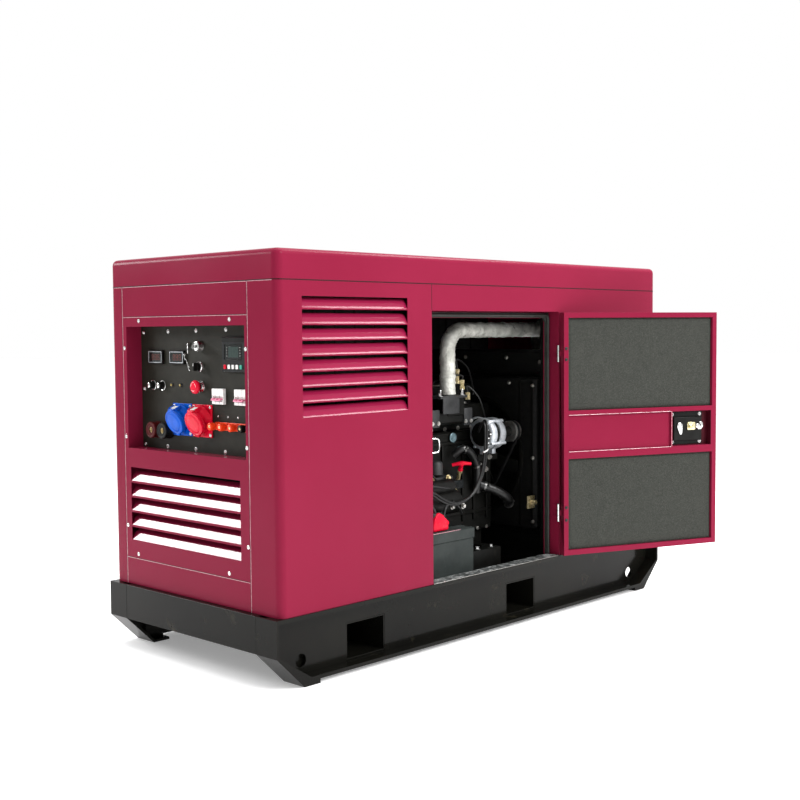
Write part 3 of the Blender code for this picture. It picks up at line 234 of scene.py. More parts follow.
# ---------------------------------------------------------------- mesh building
class Shape:
    """One mesh in millimetres, put together from bevelled boxes, outlines, turned forms and swept tubes."""

    def __init__(self, place=PLACE):
        self.work = bmesh.new()
        self.place = place

    def box(self, x, y, z, bevel=0.0, segments=2, turn=None):
        made = bmesh.ops.create_cube(self.work, size=1.0)["verts"]
        centre = Vector((sum(x) / 2, sum(y) / 2, sum(z) / 2))
        size = Matrix.Diagonal((x[1] - x[0], y[1] - y[0], z[1] - z[0], 1))
        matrix = Matrix.Translation(centre) @ (turn or Matrix.Identity(4)) @ size
        bmesh.ops.transform(self.work, matrix=matrix, verts=made)
        self.soften(made, bevel, segments)
        return self

    def soften(self, made, bevel, segments):
        if bevel:
            edges = list({edge for vert in made for edge in vert.link_edges})
            bmesh.ops.bevel(self.work, geom=edges, offset=bevel, segments=segments, profile=0.5,
                affect="EDGES", clamp_overlap=True)

    def outline(self, points, axis, low, high, bevel=0.0, segments=2):
        """A closed outline, (y, z) for X, (x, z) for Y or (x, y) for Z, extruded from low to high."""
        turn = {"X": lambda a, b, c: (c, a, b), "Y": lambda a, b, c: (a, c, b), "Z": lambda a, b,
            c: (a, b, c)}[axis]
        rings = [[self.work.verts.new(turn(a, b, c)) for a, b in points] for c in (low, high)]
        self.work.faces.new(rings[0])
        self.work.faces.new(rings[1])
        for i in range(len(points)):
            j = (i + 1) % len(points)
            self.work.faces.new((rings[0][i], rings[0][j], rings[1][j], rings[1][i]))
        self.soften(rings[0] + rings[1], bevel, segments)
        return self

    def border(self, a, b, width, axis, low, high, bevel=0.0):
        """A rectangular frame of four bars; a and b are its outer ranges across the axis."""
        bars = [(a, (b[0], b[0] + width)), (a, (b[1] - width, b[1])), ((a[0], a[0] + width),
            (b[0] + width, b[1] - width)), ((a[1] - width, a[1]), (b[0] + width, b[1] - width))]
        for u, v in bars:
            x, y, z = {"X": ((low, high), u, v), "Y": (u, (low, high), v), "Z": (u, v, (low, high))}[axis]
            self.box(x, y, z, bevel, 1)
        return self

    def lathe(self, profile, origin, axis, sides=32, flutes=0, cut=0.0, spin=0.0, shape=None):
        """A turned form: (radius, distance along the axis), with flutes of the given depth if asked."""
        place = Matrix.Translation(origin) @ Vector(axis).to_track_quat("Z", "Y").to_matrix().to_4x4()
        rings = []
        for radius, along in profile:
            if radius < 1e-7:
                rings.append([self.work.verts.new(place @ Vector((0, 0, along)))])
                continue
            ring = []
            for i in range(sides):
                angle = tau * i / sides + spin
                r = radius - cut * 0.5 * (1 + cos(angle * flutes)) if flutes else radius
                spot = Vector((r * cos(angle), r * sin(angle), along))
                ring.append(self.work.verts.new(place @ (shape(spot) if shape else spot)))
            rings.append(ring)
        for a, b in zip(rings, rings[1:]):
            for i in range(sides):
                j = (i + 1) % sides
                if len(a) == 1 and len(b) == 1:
                    continue
                if len(a) == 1:
                    self.work.faces.new((a[0], b[i], b[j]))
                elif len(b) == 1:
                    self.work.faces.new((a[i], a[j], b[0]))
                else:
                    self.work.faces.new((a[i], a[j], b[j], b[i]))
        return self

    def tube(self, points, radius, sides=12, relief=None, closed=False):
        """A round tube along the points; relief(along, angle, spot) adds to its radius."""
        points = [Vector(p) for p in points]
        count = len(points)
        normal, rings, along = None, [], 0.0
        for i, spot in enumerate(points):
            after = points[(i + 1) % count] if closed else points[min(i + 1, count - 1)]
            before = points[i - 1] if closed or i else points[0]
            tangent = (after - before).normalized()
            if normal is None:
                normal = tangent.orthogonal().normalized()
            normal = (normal - tangent * normal.dot(tangent)).normalized()
            side = tangent.cross(normal)
            along += (spot - points[i - 1]).length if i else 0.0
            ring = []
            for k in range(sides):
                angle = tau * k / sides
                way = normal * cos(angle) + side * sin(angle)
                r = radius + (relief(along, angle, spot + way * radius) if relief else 0.0)
                ring.append(self.work.verts.new(spot + way * r))
            rings.append(ring)
        pairs = list(zip(rings, rings[1:])) + ([(rings[-1], rings[0])] if closed else [])
        for a, b in pairs:
            for k in range(sides):
                n = (k + 1) % sides
                self.work.faces.new((a[k], a[n], b[n], b[k]))
        if not closed:
            self.work.faces.new(rings[0])
            self.work.faces.new(rings[-1])
        return self

    def screw(self, origin, axis, radius, turn=0.4):
        """A domed screw head with a pressed cross and a washer under it."""
        height = radius * 0.62
        profile = [(radius * 1.45, 0), (radius * 1.45, radius * 0.1), (radius * 1.38, radius * 0.16),
            (radius, radius * 0.17), (radius * 0.97, height * 0.45), (radius * 0.82, height * 0.78),
            (radius * 0.58, height * 0.94), (radius * 0.4, height), (radius * 0.2, height), (0, height)]

        def cross(spot):
            across = min(abs(spot.x), abs(spot.y))
            out = max(abs(spot.x), abs(spot.y))
            if spot.z > height * 0.9 and across < radius * 0.17 and out < radius * 0.62:
                spot.z -= height * 0.55
            return spot

        return self.lathe(profile, origin, axis, 24, shape=cross, spin=turn)

    def bolt(self, origin, axis, radius, height=None, turn=0.2):
        """A hexagon head on a washer."""
        height = height or radius * 0.8
        self.lathe([(radius * 1.35, 0), (radius * 1.35, radius * 0.16), (0, radius * 0.16)], origin, axis,
            20)
        head = [(radius, radius * 0.16), (radius, height * 0.86), (radius * 0.86, height), (0, height)]
        return self.lathe(head, origin, axis, 6, spin=turn)

    def place_as(self, name, look, body="machine", slot=None, smooth=38, replaces=()):
        slot = slot or SLOT_OF_LOOK.get(look, look)
        bmesh.ops.recalc_face_normals(self.work, faces=self.work.faces)
        self.work.transform(self.place)
        mesh = bpy.data.meshes.new(name)
        self.work.to_mesh(mesh)
        self.work.free()
        mesh.materials.append(LOOK[look])
        mesh.shade_smooth()
        mesh.set_sharp_from_angle(angle=radians(smooth))
        item = bpy.data.objects.new(name, mesh)
        bpy.context.scene.collection.objects.link(item)
        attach(item, body)
        if replaces:
            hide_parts(*replaces)
        return item


def smooth_route(points, steps):
    """Points on a Catmull-Rom curve through the route's own points."""
    knots = [Vector(p) for p in points]
    knots = [knots[0] * 2 - knots[1], *knots, knots[-1] * 2 - knots[-2]]
    route = []
    for index in range(1, len(knots) - 2):
        before, a, b, after = knots[index - 1:index + 3]
        for step in range(steps):
            t = step / steps
            route.append(0.5 * (2 * a + (b - before) * t + (2 * before - 5 * a + 4 * b - after) * t ** 2
                + (3 * a - before - 3 * b + after) * t ** 3))
    route.append(knots[-2])
    return route


def circle(centre, radius, across, up, count=32):
    return [Vector(centre) + Vector(across) * radius * cos(tau * i / count) + Vector(up) * radius
        * sin(tau * i / count) for i in range(count)]


def rounded(a, b, radius, steps=5):
    """A rectangle with rounded corners, as outline points."""
    points = []
    for ca, cb, start in ((a[1], b[1], 0), (a[0], b[1], 90), (a[0], b[0], 180), (a[1], b[0], 270)):
        centre = (ca - copysign(radius, ca - sum(a) / 2), cb - copysign(radius, cb - sum(b) / 2))
        for i in range(steps + 1):
            angle = radians(start + 90 * i / steps)
            points.append((centre[0] + radius * cos(angle), centre[1] + radius * sin(angle)))
    return points


def around(middle, half):
    return (middle - half, middle + half)


def on_circle(middle, radius, degrees):
    """The two coordinates of a point on a circle."""
    return middle[0] + radius * cos(radians(degrees)), middle[1] + radius * sin(radians(degrees))


def on_plate(y, z, out=0.0):
    return Vector((PLATE_X - out, y, z))


def proud(low, high):
    """The X range of a piece that stands out of the control plate from low to high."""
    return (PLATE_X - high, PLATE_X - low)


# ---------------------------------------------------------------- CAD nodes with their finishes
LOOK_OF_NODE = {"battery": "battery_grey", "radiator": "radiator_core", "muffler": "steel"}
# How far each node's edges are rounded, in metres: these meshes come from the frame
EDGE_GROUPS = {
    0.0: "roof_cover fuel_tank",
    0.0005: "rear_panel end_panel_right",
    0.0006: "side_panel_front_left side_panel_front_right end_panel_left door_frame control_box "
        "control_plate breaker_1 breaker_2 crank_pulley alternator_pulley",
    0.0008: "latch_plate latch_paddle cooling_fan muffler",
    0.001: "end_frame_left",
    0.0012: "door_shell fork_pocket_left fork_pocket_right controller_module starter_motor",
    0.0014: "base_pan socket_blue socket_red weld_socket_positive weld_socket_negative battery",
    0.0015: "welding_generator",
    0.0016: "skid_rail_front skid_rail_rear",
    0.002: "radiator",
    0.0025: "cylinder_head",
    0.003: "engine_block",
}
SOFT_EDGES = {node: width for width, nodes in EDGE_GROUPS.items() for node in nodes.split()}
# Nodes that pieces made further on stand for
STANDS_FOR = {"door_foam_upper", "door_foam_lower", "exhaust_pipe", "alternator_cables",
    "charging_alternator", "dipstick", "ignition_key", "estop_button", "adjuster_knob_1", "adjuster_knob_2",
    "latch_lever", "breaker_toggle_1", "breaker_toggle_2", "output_terminals", "socket_blue_lid",
    "socket_red_lid"}
# The blades are glossier than the skins round them, and the side blades' look is lighter than the panel
# paint: painted light where the light falls on them. Each node's blades lie in one machine box
LOUVRES = {"side_panel_front_left": ("crimson_blade", (-861, -434), (-405.2, -383.5), (530, 895)),
           "rear_panel": ("crimson_blade", (-861, -434), (383.5, 405.2), (530, 895)),
           "end_panel_left": ("crimson_gloss", (-949.2, -905), (-236, 311), (135, 376)),
           "end_panel_right": ("crimson_gloss", (905, 949.2), (-231, 291), (98, 645))}


def finish_node(node, look, width):
    """The node's own shape with its edges softened, standing for it."""
    source = frame["nodes"][node]
    work = bmesh.new()
    work.from_mesh(source.data)
    bmesh.ops.remove_doubles(work, verts=work.verts, dist=0.00001)
    bmesh.ops.dissolve_limit(work, angle_limit=radians(0.4), verts=work.verts, edges=work.edges)
    if width:
        sharp = [e for e in work.edges if len(e.link_faces) == 2 and e.calc_face_angle(0) > radians(38)]
        bmesh.ops.bevel(work, geom=sharp, offset=width, segments=2, profile=0.6, affect="EDGES",
            clamp_overlap=True)
    mesh = bpy.data.meshes.new(f"{node}_finished")
    work.to_mesh(mesh)
    work.free()
    mesh.materials.append(LOOK[look])
    if node in LOUVRES:
        blade_look, *box = LOUVRES[node]
        mesh.materials.append(LOOK[blade_look])
        to_machine = PLACE.inverted() @ source.matrix_world
        for face in mesh.polygons:
            spot = to_machine @ face.center
            inside = all(low <= value <= high for value, (low, high) in zip(spot, box))
            face.material_index = 1 if inside else 0
    mesh.shade_smooth()
    mesh.set_sharp_from_angle(angle=radians(62 if width else 40))
    item = bpy.data.objects.new(mesh.name, mesh)
    bpy.context.scene.collection.objects.link(item)
    item.modifiers.new("weighted_normals", "WEIGHTED_NORMAL").keep_sharp = True
    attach(item, source["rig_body"])
    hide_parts(node)


for node_name, item in frame["nodes"].items():
    if node_name in STANDS_FOR:
        continue
    look_name = LOOK_OF_NODE.get(node_name, SLOT_OF[node_name])
    if node_name in SOFT_EDGES:
        finish_node(node_name, look_name, SOFT_EDGES[node_name])
    else:
        item.data.materials.clear()
        item.data.materials.append(LOOK[look_name])


# ---------------------------------------------------------------- housing details
def panel_fixings():
    """Screws round the control end, the rear hatch and the radiator end."""
    face = -950.2
    ends = [(251, 829), (-198, 829), (276, 99.5), (-180, 99.5)]
    sides = [(y, z) for y in (331, -268.5) for z in (745, 467, 186)]
    screws = Shape()
    for number, (y, z) in enumerate(ends + sides):
        screws.screw((face, y, z), OUT, 4.2, turn=0.3 + number * 0.7)
    screws.place_as("control_end_screws", "chrome")
    rear = Shape()
    hatch = [(x, z) for x in (-311.5, 315.5) for z in (85, 330, 580, 835)]
    hatch += [(x, z) for x in (-105, 110) for z in (75.5, 838)]
    for number, (x, z) in enumerate(hatch):
        rear.screw((x, 406.2, z), REAR, 4.8, turn=number * 0.9)
    rear.place_as("rear_hatch_screws", "chrome")
    radiator_end = Shape()
    for number, (y, z) in enumerate([(y, z) for y in (-262, 325) for z in (60, 350, 640, 900)]):
        radiator_end.screw((950.2, y, z), RIGHT, 4.8, turn=number * 1.1)
    radiator_end.place_as("radiator_end_screws", "chrome")


def panel_seams():
    """The lines where panels meet: painted shade in each gap, a painted highlight line beside it, and a
    painted shade band in the gap under the roof.
    """
    half, bright_half, beside, lift, skin = 0.9, 0.6, 1.6, 0.35, 1
    left, upright = (-END_X - lift, -END_X + skin), (1, PANEL_TOP)
    seams, edges, roof_shade = Shape(), Shape(), Shape()
    for side in (-1, 1):
        face = side * END_X
        for y in JOINT_Y:
            seams.box(sorted((face - side * skin, face + side * lift)), around(y, half), upright)
    for z in JOINT_Z:
        seams.box(left, JOINT_Y, around(z, half))
        edges.box(left, JOINT_Y, around(z - beside, bright_half))
    seams.box(around(-326.5, half), (-SIDE_Y - lift, -SIDE_Y + skin), (854.5, PANEL_TOP))
    # Painted shade: dark strips in the gaps between panels
    seams.place_as("panel_seams", "seam_shadow")
    edges.box(left, (-385, 385), around(PANEL_TOP - beside, bright_half))
    for y in JOINT_Y:
        edges.box(left, around(y - beside, bright_half), upright)
    # Painted highlight: pale lines beside the seams, where the panel edges catch the light
    edges.place_as("seam_edge_highlights", "painted_edge_highlight")
    corner = 24
    outer = rounded(around(0, END_X + lift), around(0, SIDE_Y + lift), corner, 8)
    inner = rounded(around(0, END_X - skin), around(0, SIDE_Y - skin), corner - skin, 8)
    for i in range(len(outer)):
        j = (i + 1) % len(outer)
        roof_shade.outline([outer[i], outer[j], inner[j], inner[i]], "Z", 934.5, 937.5)
    bmesh.ops.remove_doubles(roof_shade.work, verts=roof_shade.work.verts, dist=0.01)
    # Painted shade: a dark band in the gap under the roof
    roof_shade.place_as("roof_seam_shade", "seam_shadow", smooth=30)


def linings():
    """Black acoustic lining inside the canopy, with its pressed ribs."""
    rear = Shape().box((-330, 905), (388.5, 398.5), (10, 925), 2)
    rear.box((-700, -333), (388.5, 398.5), (10, 515), 2)
    for i in range(8):
        x = -300 + i * 155
        rear.box((x, x + 12), (385, 389), (30, 905), 1.5)
    rear.place_as("rear_lining", "dark_lining")
    roof = Shape().box((-690, 900), (-345, 380), (928, 934), 2)
    for i in range(5):
        x = -500 + i * 300
        roof.box((x, x + 12), (-340, 375), (925, 928.5), 1)
    roof.place_as("roof_lining", "dark_lining")
    door_post = Shape()
    door_post.box((342, 930), (-403, -399), (10, 930), 1)
    door_post.box((-690, -338), (-403, -399), (10, 530), 1)
    door_post.place_as("front_lining", "dark_lining")
    for name, side in (("front", -1), ("rear", 1)):
        deep = sorted((side * 340, side * 344))
        baffle = Shape().box((-868, -338), deep, (520, 915), 1.5)
        ribs = sorted((side * 342.5, side * 346.5))
        for i in range(6):
            x = -845 + i * 82
            baffle.box((x, x + 10), ribs, (530, 905), 1.2)
        baffle.place_as(f"louvre_baffle_{name}", "dark_lining")


def sill():
    """The scuffed top of the skid along the door opening, with its turned-up edge."""
    strip = Shape().box((-325.5, 325.5), (-403.5, -357.5), (0.3, 1.4), 0.4, 1)
    strip.place_as("door_sill", "scuffed_sill")
    lip = Shape().box((-325.5, 323.5), (-409, -406), (0.3, 2), 0.6)
    lip.place_as("door_sill_edge", "steel")


def skid_gussets():
    """Stiffening plates standing behind the lashing holes at the two left feet."""
    plates = Shape()
    for side in (-1, 1):
        y = side * 344
        plates.outline([(-885, -172), (-805, -172), (-795, -140), (-795, -105), (-885, -105)], "Y", y - 1.5,
            y + 1.5, 0.5)
    plates.place_as("skid_gussets", "black_paint")


def seal_bulb():
    """The rounded lip of the door seal, standing off its flange round the sides and top."""
    deep, radius, corner = -366.8, 5, 12
    left, right, top, foot = -314.5, 318.5, 841.5, 4.5
    path = [(left, deep, foot)]
    for centre, start in (((left + corner, top - corner), 180), ((right - corner, top - corner), 90)):
        for i in range(7):
            across, up = on_circle(centre, corner, start - 15 * i)
            path.append((across, deep, up))
    path.append((right, deep, foot))
    bulb = Shape().tube(path, radius, 12)
    bulb.place_as("door_seal_bulb", "seal_rubber")


def hinges():
    """Pins and sleeves at the two hinges, and the bolts that hold the door's leaves."""
    fixed, moving, bolts = Shape(), Shape(DOOR), Shape(DOOR)
    for low, high in ((122, 180), (682, 734)):
        third = (high - low) / 3
        x, y, _ = HINGE
        for bottom in (low, high - third):
            profile = [(4.6, 0), (5.2, 0.4), (5.2, third - 0.4), (4.6, third)]
            fixed.lathe(profile, (x, y, bottom), UP, 18)
        for end, way in ((low, -1), (high, 1)):
            cap = [(5.2, 0), (5.2, 0.8), (4, 2.6), (1.8, 3.4), (0, 3.6)]
            fixed.lathe(cap, (x, y, end), (0, 0, way), 18)
        profile = [(4.6, 0.6), (5.1, 1), (5.1, third - 1), (4.6, third - 0.6)]
        moving.lathe(profile, (0, 0, low + third), UP, 18)
        for z in (high - 8, low + 6):
            bolts.bolt((-14.5, 30.6, z), REAR, 4.2, 4)
    fixed.place_as("hinge_sleeves_fixed", "chrome")
    moving.place_as("hinge_sleeves_door", "chrome", body="door", slot="chrome")
    bolts.place_as("hinge_bolts", "cast_grey", body="door")


# ---------------------------------------------------------------- door
def foam_pad(name, x, z):
    """A soft foam board pressed into its pocket: rolled edges and a slightly uneven face."""
    front, back, roll, step = 22.8, 2.4, 6, 8.5
    across, up = int((x[1] - x[0]) / step), int((z[1] - z[0]) / step)
    pad = Shape(DOOR)
    grid = []
    for j in range(up + 1):
        row = []
        for i in range(across + 1):
            px = x[0] + (x[1] - x[0]) * i / across
            pz = z[0] + (z[1] - z[0]) * j / up
            edge = min(px - x[0], x[1] - px, pz - z[0], z[1] - pz)
            drop = roll * (1 - sqrt(max(0.0, 1 - max(0.0, 1 - edge / (roll * 1.6)) ** 2)))
            wave = noise.noise(Vector((px * 0.009, 3.1, pz * 0.009))) * 0.9
            wave += noise.noise(Vector((px * 0.038, 7.7, pz * 0.038))) * 0.4
            row.append(pad.work.verts.new((px, front - drop * 0.75 + wave, pz)))
        grid.append(row)
    for a, b in zip(grid, grid[1:]):
        for i in range(across):
            pad.work.faces.new((a[i], a[i + 1], b[i + 1], b[i]))
    rim = [e for e in pad.work.edges if len(e.link_faces) == 1]
    grown = bmesh.ops.extrude_edge_only(pad.work, edges=rim)["geom"]
    for vert in [g for g in grown if isinstance(g, bmesh.types.BMVert)]:
        vert.co.y = back
    bmesh.ops.holes_fill(pad.work, edges=[e for e in pad.work.edges if len(e.link_faces) == 1], sides=0)
    piece = pad.place_as(f"{name}_pad", "foam_grey", body="door", smooth=50, replaces=(name,))


def door_strip():
    """Rolled edges and spot welds of the middle strip, and the lip of the latch pocket; the rolled edges
    and the lip carry a painted highlight.
    """
    edges = Shape(DOOR)
    for z in (494, 366):
        for x in ((-450, -362), (-358, -232), (-228, -112), (-108, -26)):
            edges.tube([(x[0], 30, z), (x[1], 30, z)], 0.9, 8)
    edges.tube([(-453, 30.2, 367), (-453, 30.2, 493)], 0.9, 8)
    # Painted highlight: the rolled edges and the lip are pale where the gloss catches the light
    edges.place_as("door_strip_edges", "painted_edge_highlight", body="door")
    welds = Shape(DOOR)
    for z in (500.5, 360):
        for x in (-438, -290, -145, -32):
            welds.lathe([(2.6, 0), (2.2, 0.6), (1, 0.9), (0, 0.7)], (x, 30.4, z), REAR, 14)
    welds.place_as("door_spot_welds", "crimson_paint", body="door")


def latch():
    """The latch case seen from inside: drop lever, nut and hook on a raised black case."""
    face = 18.1
    lever = Shape(DOOR)
    centre = (-494, 438)
    drop = []
    for i in range(15):
        angle = radians(-40 + 260 * i / 14)
        drop.append((centre[0] + 11.8 * cos(angle), centre[1] + 12.5 * sin(angle)))
    drop += [(-504.5, 416), (-501.5, 408), (-495, 407), (-490.5, 415)]
    lever.outline(drop, "Y", face, face + 5.4, 1.4)
    lever.lathe([(6.6, 0), (6.6, 1.6), (4.8, 2.6), (0, 2.8)], (centre[0], face + 5, centre[1]), REAR, 20)
    lever.place_as("latch_lever_drop", "chrome", body="latch_lever", replaces=("latch_lever",))
    zinc = Shape(DOOR)
    zinc.outline(rounded((-563, -528), (423, 451), 4, 3), "Y", face - 0.4, face + 3, 0.7)
    zinc.outline(rounded((-550, -531), (428, 444), 3, 3), "Y", face + 2.6, face + 7.5, 1)
    zinc.bolt((-539, face + 7, 436), REAR, 6, 4)
    zinc.place_as("latch_follower", "yellow_zinc", body="door")
    hook = Shape(DOOR)
    hook.lathe([(9.8, 0), (9.8, 4.4), (8, 6.6), (3.4, 7.2), (0, 7.2)], (-574, face - 0.4, 436.5), REAR, 22)
    claw = [(-568, 429), (-576, 423.5), (-588, 425), (-595.5, 434), (-594.5, 447), (-587, 453), (-579, 452),
        (-583, 445), (-588, 440), (-585, 434), (-578, 433.5), (-570, 440)]
    hook.outline(claw, "Y", face + 1, face + 4.4, 0.7)
    hook.place_as("latch_hook", "chrome", body="door")
    screws = Shape(DOOR)
    for number, (x, z) in enumerate(((-470, 480), (-590, 480), (-470, 380), (-590, 380))):
        screws.screw((x, 7.9, z), REAR, 4.6, turn=number)
    screws.place_as("latch_screws", "chrome", body="door")
    # Painted shade: dark crimson sheets on the floor and wall of the latch pocket, where shade falls
    shade = Shape(DOOR).box((-624.5, -601), (3.4, 4.4), (367.5, 492.5), 0.3, 1)
    shade.box((-601, -456.5), (3.4, 3.7), (367.5, 492.5), 0.1, 1)
    shade.box((-624.9, -623.9), (4.4, 28.5), (368, 492), 0.3, 1)
    shade.place_as("latch_pocket_shade", "pocket_shade_crimson", body="door")
    bezel = Shape(DOOR).border((-583, -467), (388, 481), 6.5, "Y", -3, 0.6, 1.2)
    bezel.place_as("paddle_bezel", "black_plastic", body="door")
    lock = Shape(DOOR).lathe([(8.5, 0), (8.5, 2.2), (7, 3.2), (3, 3.2), (2.6, 1.8), (0, 1.8)],
        (-556, -7.2, 448), FRONT, 24)
    lock.place_as("paddle_lock", "chrome", body="latch_paddle")


# ---------------------------------------------------------------- control panel
def plate_screws():
    screws = Shape()
    spots = [(306, 793), (175, 796), (33, 798), (-111, 800), (306, 616), (306, 440.5), (187, 440.5),
        (43, 440.5), (-100, 440.5), (-248, 440.5), (-248, 616), (-248, 793)]
    for number, (y, z) in enumerate(spots):
        screws.screw(on_plate(y, z), OUT, 4.4, turn=number * 0.8)
    screws.place_as("control_plate_screws", "chrome")


def meters():
    """Two panel meters: bezel, dark window and three unlit digits each."""
    bezels, windows, digits = Shape(), Shape(), Shape()
    strokes = [((0.5, v), False) for v in (1, 0, 0.5)]
    strokes += [((u, v), True) for v in (0.75, 0.25) for u in (0, 1)]
    z = METERS_Z
    for y in METERS_Y:
        bezels.border((y[0] - 1.5, y[1] + 1.5), (z[0] - 1.5, z[1] + 1.5), 5.5, "X", PLATE_X - 8.8,
            PLATE_X - 0.3, 1)
        windows.box(proud(5.5, 7), (y[0] + 4, y[1] - 4), (z[0] + 4, z[1] - 4), 0.4, 1)
        for number in range(3):
            left, low = y[0] + 16 + number * 15, z[0] + 11.5
            wide, tall, thick = 8.5, 16.5, 1.7
            for (u, v), upright in strokes:
                cy, cz = left + u * wide, low + v * tall
                half_y, half_z = (thick / 2, tall / 4 - 0.8) if upright else (wide / 2 - 0.8, thick / 2)
                digits.box(proud(6.8, 7.4), around(cy, half_y), around(cz, half_z))
    bezels.place_as("meter_bezels", "black_plastic")
    windows.place_as("meter_windows", "screen_glass", slot="black_plastic")
    digits.place_as("meter_digits", "led_red")
    rims = Shape()
    for y in METERS_Y:
        rims.border((y[0] + 3, y[1] - 3), (z[0] + 3, z[1] - 3), 1.5, "X", PLATE_X - 9.1, PLATE_X - 8)
    rims.place_as("meter_rims", "aluminium", slot="grey_plastic")


def key_switch():
    y, z = KEY_AT
    ring = Shape().lathe([(17, 0.3), (17, 4), (16, 5.6), (16, 15), (15, 17.2), (12.5, 18.4), (6, 18.6),
        (5.2, 18.1)], on_plate(y, z), OUT, 40)
    ring.place_as("key_barrel", "chrome")
    key = Shape()
    key.outline(rounded((PLATE_X - 50, PLATE_X - 31), around(z, 11.5), 5.2, 4), "Y", y - 1.2, y + 1.2, 0.5)
    key.box((PLATE_X - 32, PLATE_X - 18.6), around(y, 1.1), around(z, 3.5), 0.4, 1)
    key.tube(circle((PLATE_X - 45, y + 4.5, z - 9.5), 14, (0.6, 0.8, 0), UP, 28), 1.2, 8, closed=True)
    hang = Vector((PLATE_X - 49, y + 13, z - 23))
    lean = Matrix.Translation(hang) @ Matrix.Rotation(radians(-24), 4, "X") @ Matrix.Rotation(0.5, 4, "Z")
    spare = Shape(PLACE @ lean)
    spare.outline(rounded((-10.5, 10.5), (-20, 1), 6, 4), "Y", -1, 1, 0.4)
    teeth = [(-3.4, -19), (-3.4, -50), (0, -54), (3.4, -50), (3.4, -45), (1.8, -42.5), (3.4, -40),
        (3.4, -35), (2, -32.5), (3.4, -30), (3.4, -19)]
    spare.outline(teeth, "Y", -0.9, 0.9, 0.3, 1)
    key.place_as("ignition_key_set", "chrome", body="ignition_key", replaces=("ignition_key",))
    spare.place_as("spare_key", "chrome", body="ignition_key", slot="chrome")


def selector():
    y, z = SELECTOR_AT
    ring = Shape().lathe([(16.5, 0.3), (16.5, 4.5), (15.8, 7), (15.2, 9.8), (14.2, 10.8), (13.2, 10.1),
        (13, 9)], on_plate(y, z), OUT, 40)
    ring.place_as("selector_ring", "chrome")
    line = Shape().box(proud(29.8, 30.4), around(y, 0.8), (z + 2, z + 10.5), 0.2, 1)
    line.place_as("selector_pointer", "white_plastic", body="selector_knob")


def stop_button():
    y, z = STOP_AT
    ring = Shape().lathe([(18.5, 0.3), (18.5, 3), (17.2, 4.8), (16.5, 9), (15.8, 10.4), (12, 10.8),
        (11.2, 10), (11.2, 6)], on_plate(y, z), OUT, 40)
    ring.place_as("stop_button_ring", "chrome")
    sleeve = Shape().lathe([(0, 8), (9.2, 8), (9.2, 18.6), (0, 18.6)], on_plate(y, z), OUT, 32)
    sleeve.place_as("stop_button_sleeve", "black_plastic")
    # The head is hollow behind, so it slides over the sleeve when it is pressed.
    head = Shape().lathe([(0, 26.2), (9.9, 25.8), (9.9, 17.3), (16.5, 17.6), (19.2, 19), (20.3, 21.5),
        (20.3, 24.8), (19, 28.2), (15.8, 30.5), (10.5, 31.6), (5, 31.8), (0, 31.7)], on_plate(y, z), OUT,
        48)
    head.place_as("stop_button_head", "red_plastic", body="estop_button", slot="red_plastic",
        replaces=("estop_button",))
    marks = Shape()
    for turn in range(3):
        points = []
        for i in range(7):
            points.append(on_plate(*on_circle((y, z), 12, turn * 120 + 10 * i), 31.4))
        marks.tube(points, 0.6, 6)
    marks.place_as("stop_button_marks", "white_plastic", body="estop_button")


def dials():
    for number, y in enumerate(DIALS_Y):
        z, body = DIALS_Z, f"adjuster_knob_{number + 1}"
        knob = Shape().lathe([(0, 0.6), (12.8, 0.6), (13, 2.5), (12.2, 3.2), (11.8, 16.5), (10.8, 18.4),
            (8, 19)], on_plate(y, z), OUT, 72, flutes=18, cut=0.9)
        knob.lathe([(8.8, 18), (8.8, 19), (0, 19)], on_plate(y, z), OUT, 28)
        knob.place_as(f"{body}_body", "black_plastic", body=body, replaces=(body,))
        cap = Shape().lathe([(7.8, 18.8), (7.8, 19.6), (7, 20.1), (0, 20.2)], on_plate(y, z), OUT, 32)
        cap.place_as(f"{body}_cap", "chrome", body=body)
        scale = Shape()
        scale.lathe([(13.8, 0.3), (13.8, 2.2), (14.8, 2.6), (15.6, 2), (15.6, 0.3)], on_plate(y, z), OUT,
            40)
        scale.place_as(f"{body}_ring", "chrome")
        # A hair inside 45 degrees, where rounding would choose the side of a tube's first facet.
        first, step = -44.998, 26.9996
        ticks = Shape()
        for i in range(11):
            ends = [on_plate(*on_circle((y, z), radius, first + step * i), 0.4) for radius in (17.2, 19.6)]
            ticks.tube(ends, 0.35, 6)
        ticks.place_as(f"{body}_ticks", "grey_plastic")


def lamps():
    domes, rings = Shape(), Shape()
    for y, z in LAMPS_AT:
        domes.lathe([(4.2, 3), (4.1, 4.6), (3.4, 5.8), (1.9, 6.6), (0, 6.8)], on_plate(y, z), OUT, 24)
        rings.lathe([(6, 0.3), (6, 2.2), (5.4, 3.2), (4.4, 3.2), (4.2, 2.6)], on_plate(y, z), OUT, 28)
    domes.place_as("pilot_lamp_lenses", "amber_plastic")
    rings.place_as("pilot_lamp_rings", "dark_steel", slot="steel")


def button_caps():
    """Square keys on the five buttons of the controller module."""
    to_machine = PLACE.inverted()
    for number in range(1, 6):
        node = f"controller_button_{number}"
        source = frame["nodes"][node]
        spots = [to_machine @ source.matrix_world @ vertex.co for vertex in source.data.vertices]
        low = [min(spot[axis] for spot in spots) for axis in range(3)]
        high = [max(spot[axis] for spot in spots) for axis in range(3)]
        y, z = (low[1] + high[1]) / 2, (low[2] + high[2]) / 2
        cap = Shape().outline(rounded(around(y, 4.8), around(z, 6.2), 1.6, 3), "X", low[0], high[0], 0.8)
        cap.place_as(f"{node}_cap", LOOK_OF_NODE.get(node, SLOT_OF[node]), body=node, slot=SLOT_OF[node],
            replaces=(node,))


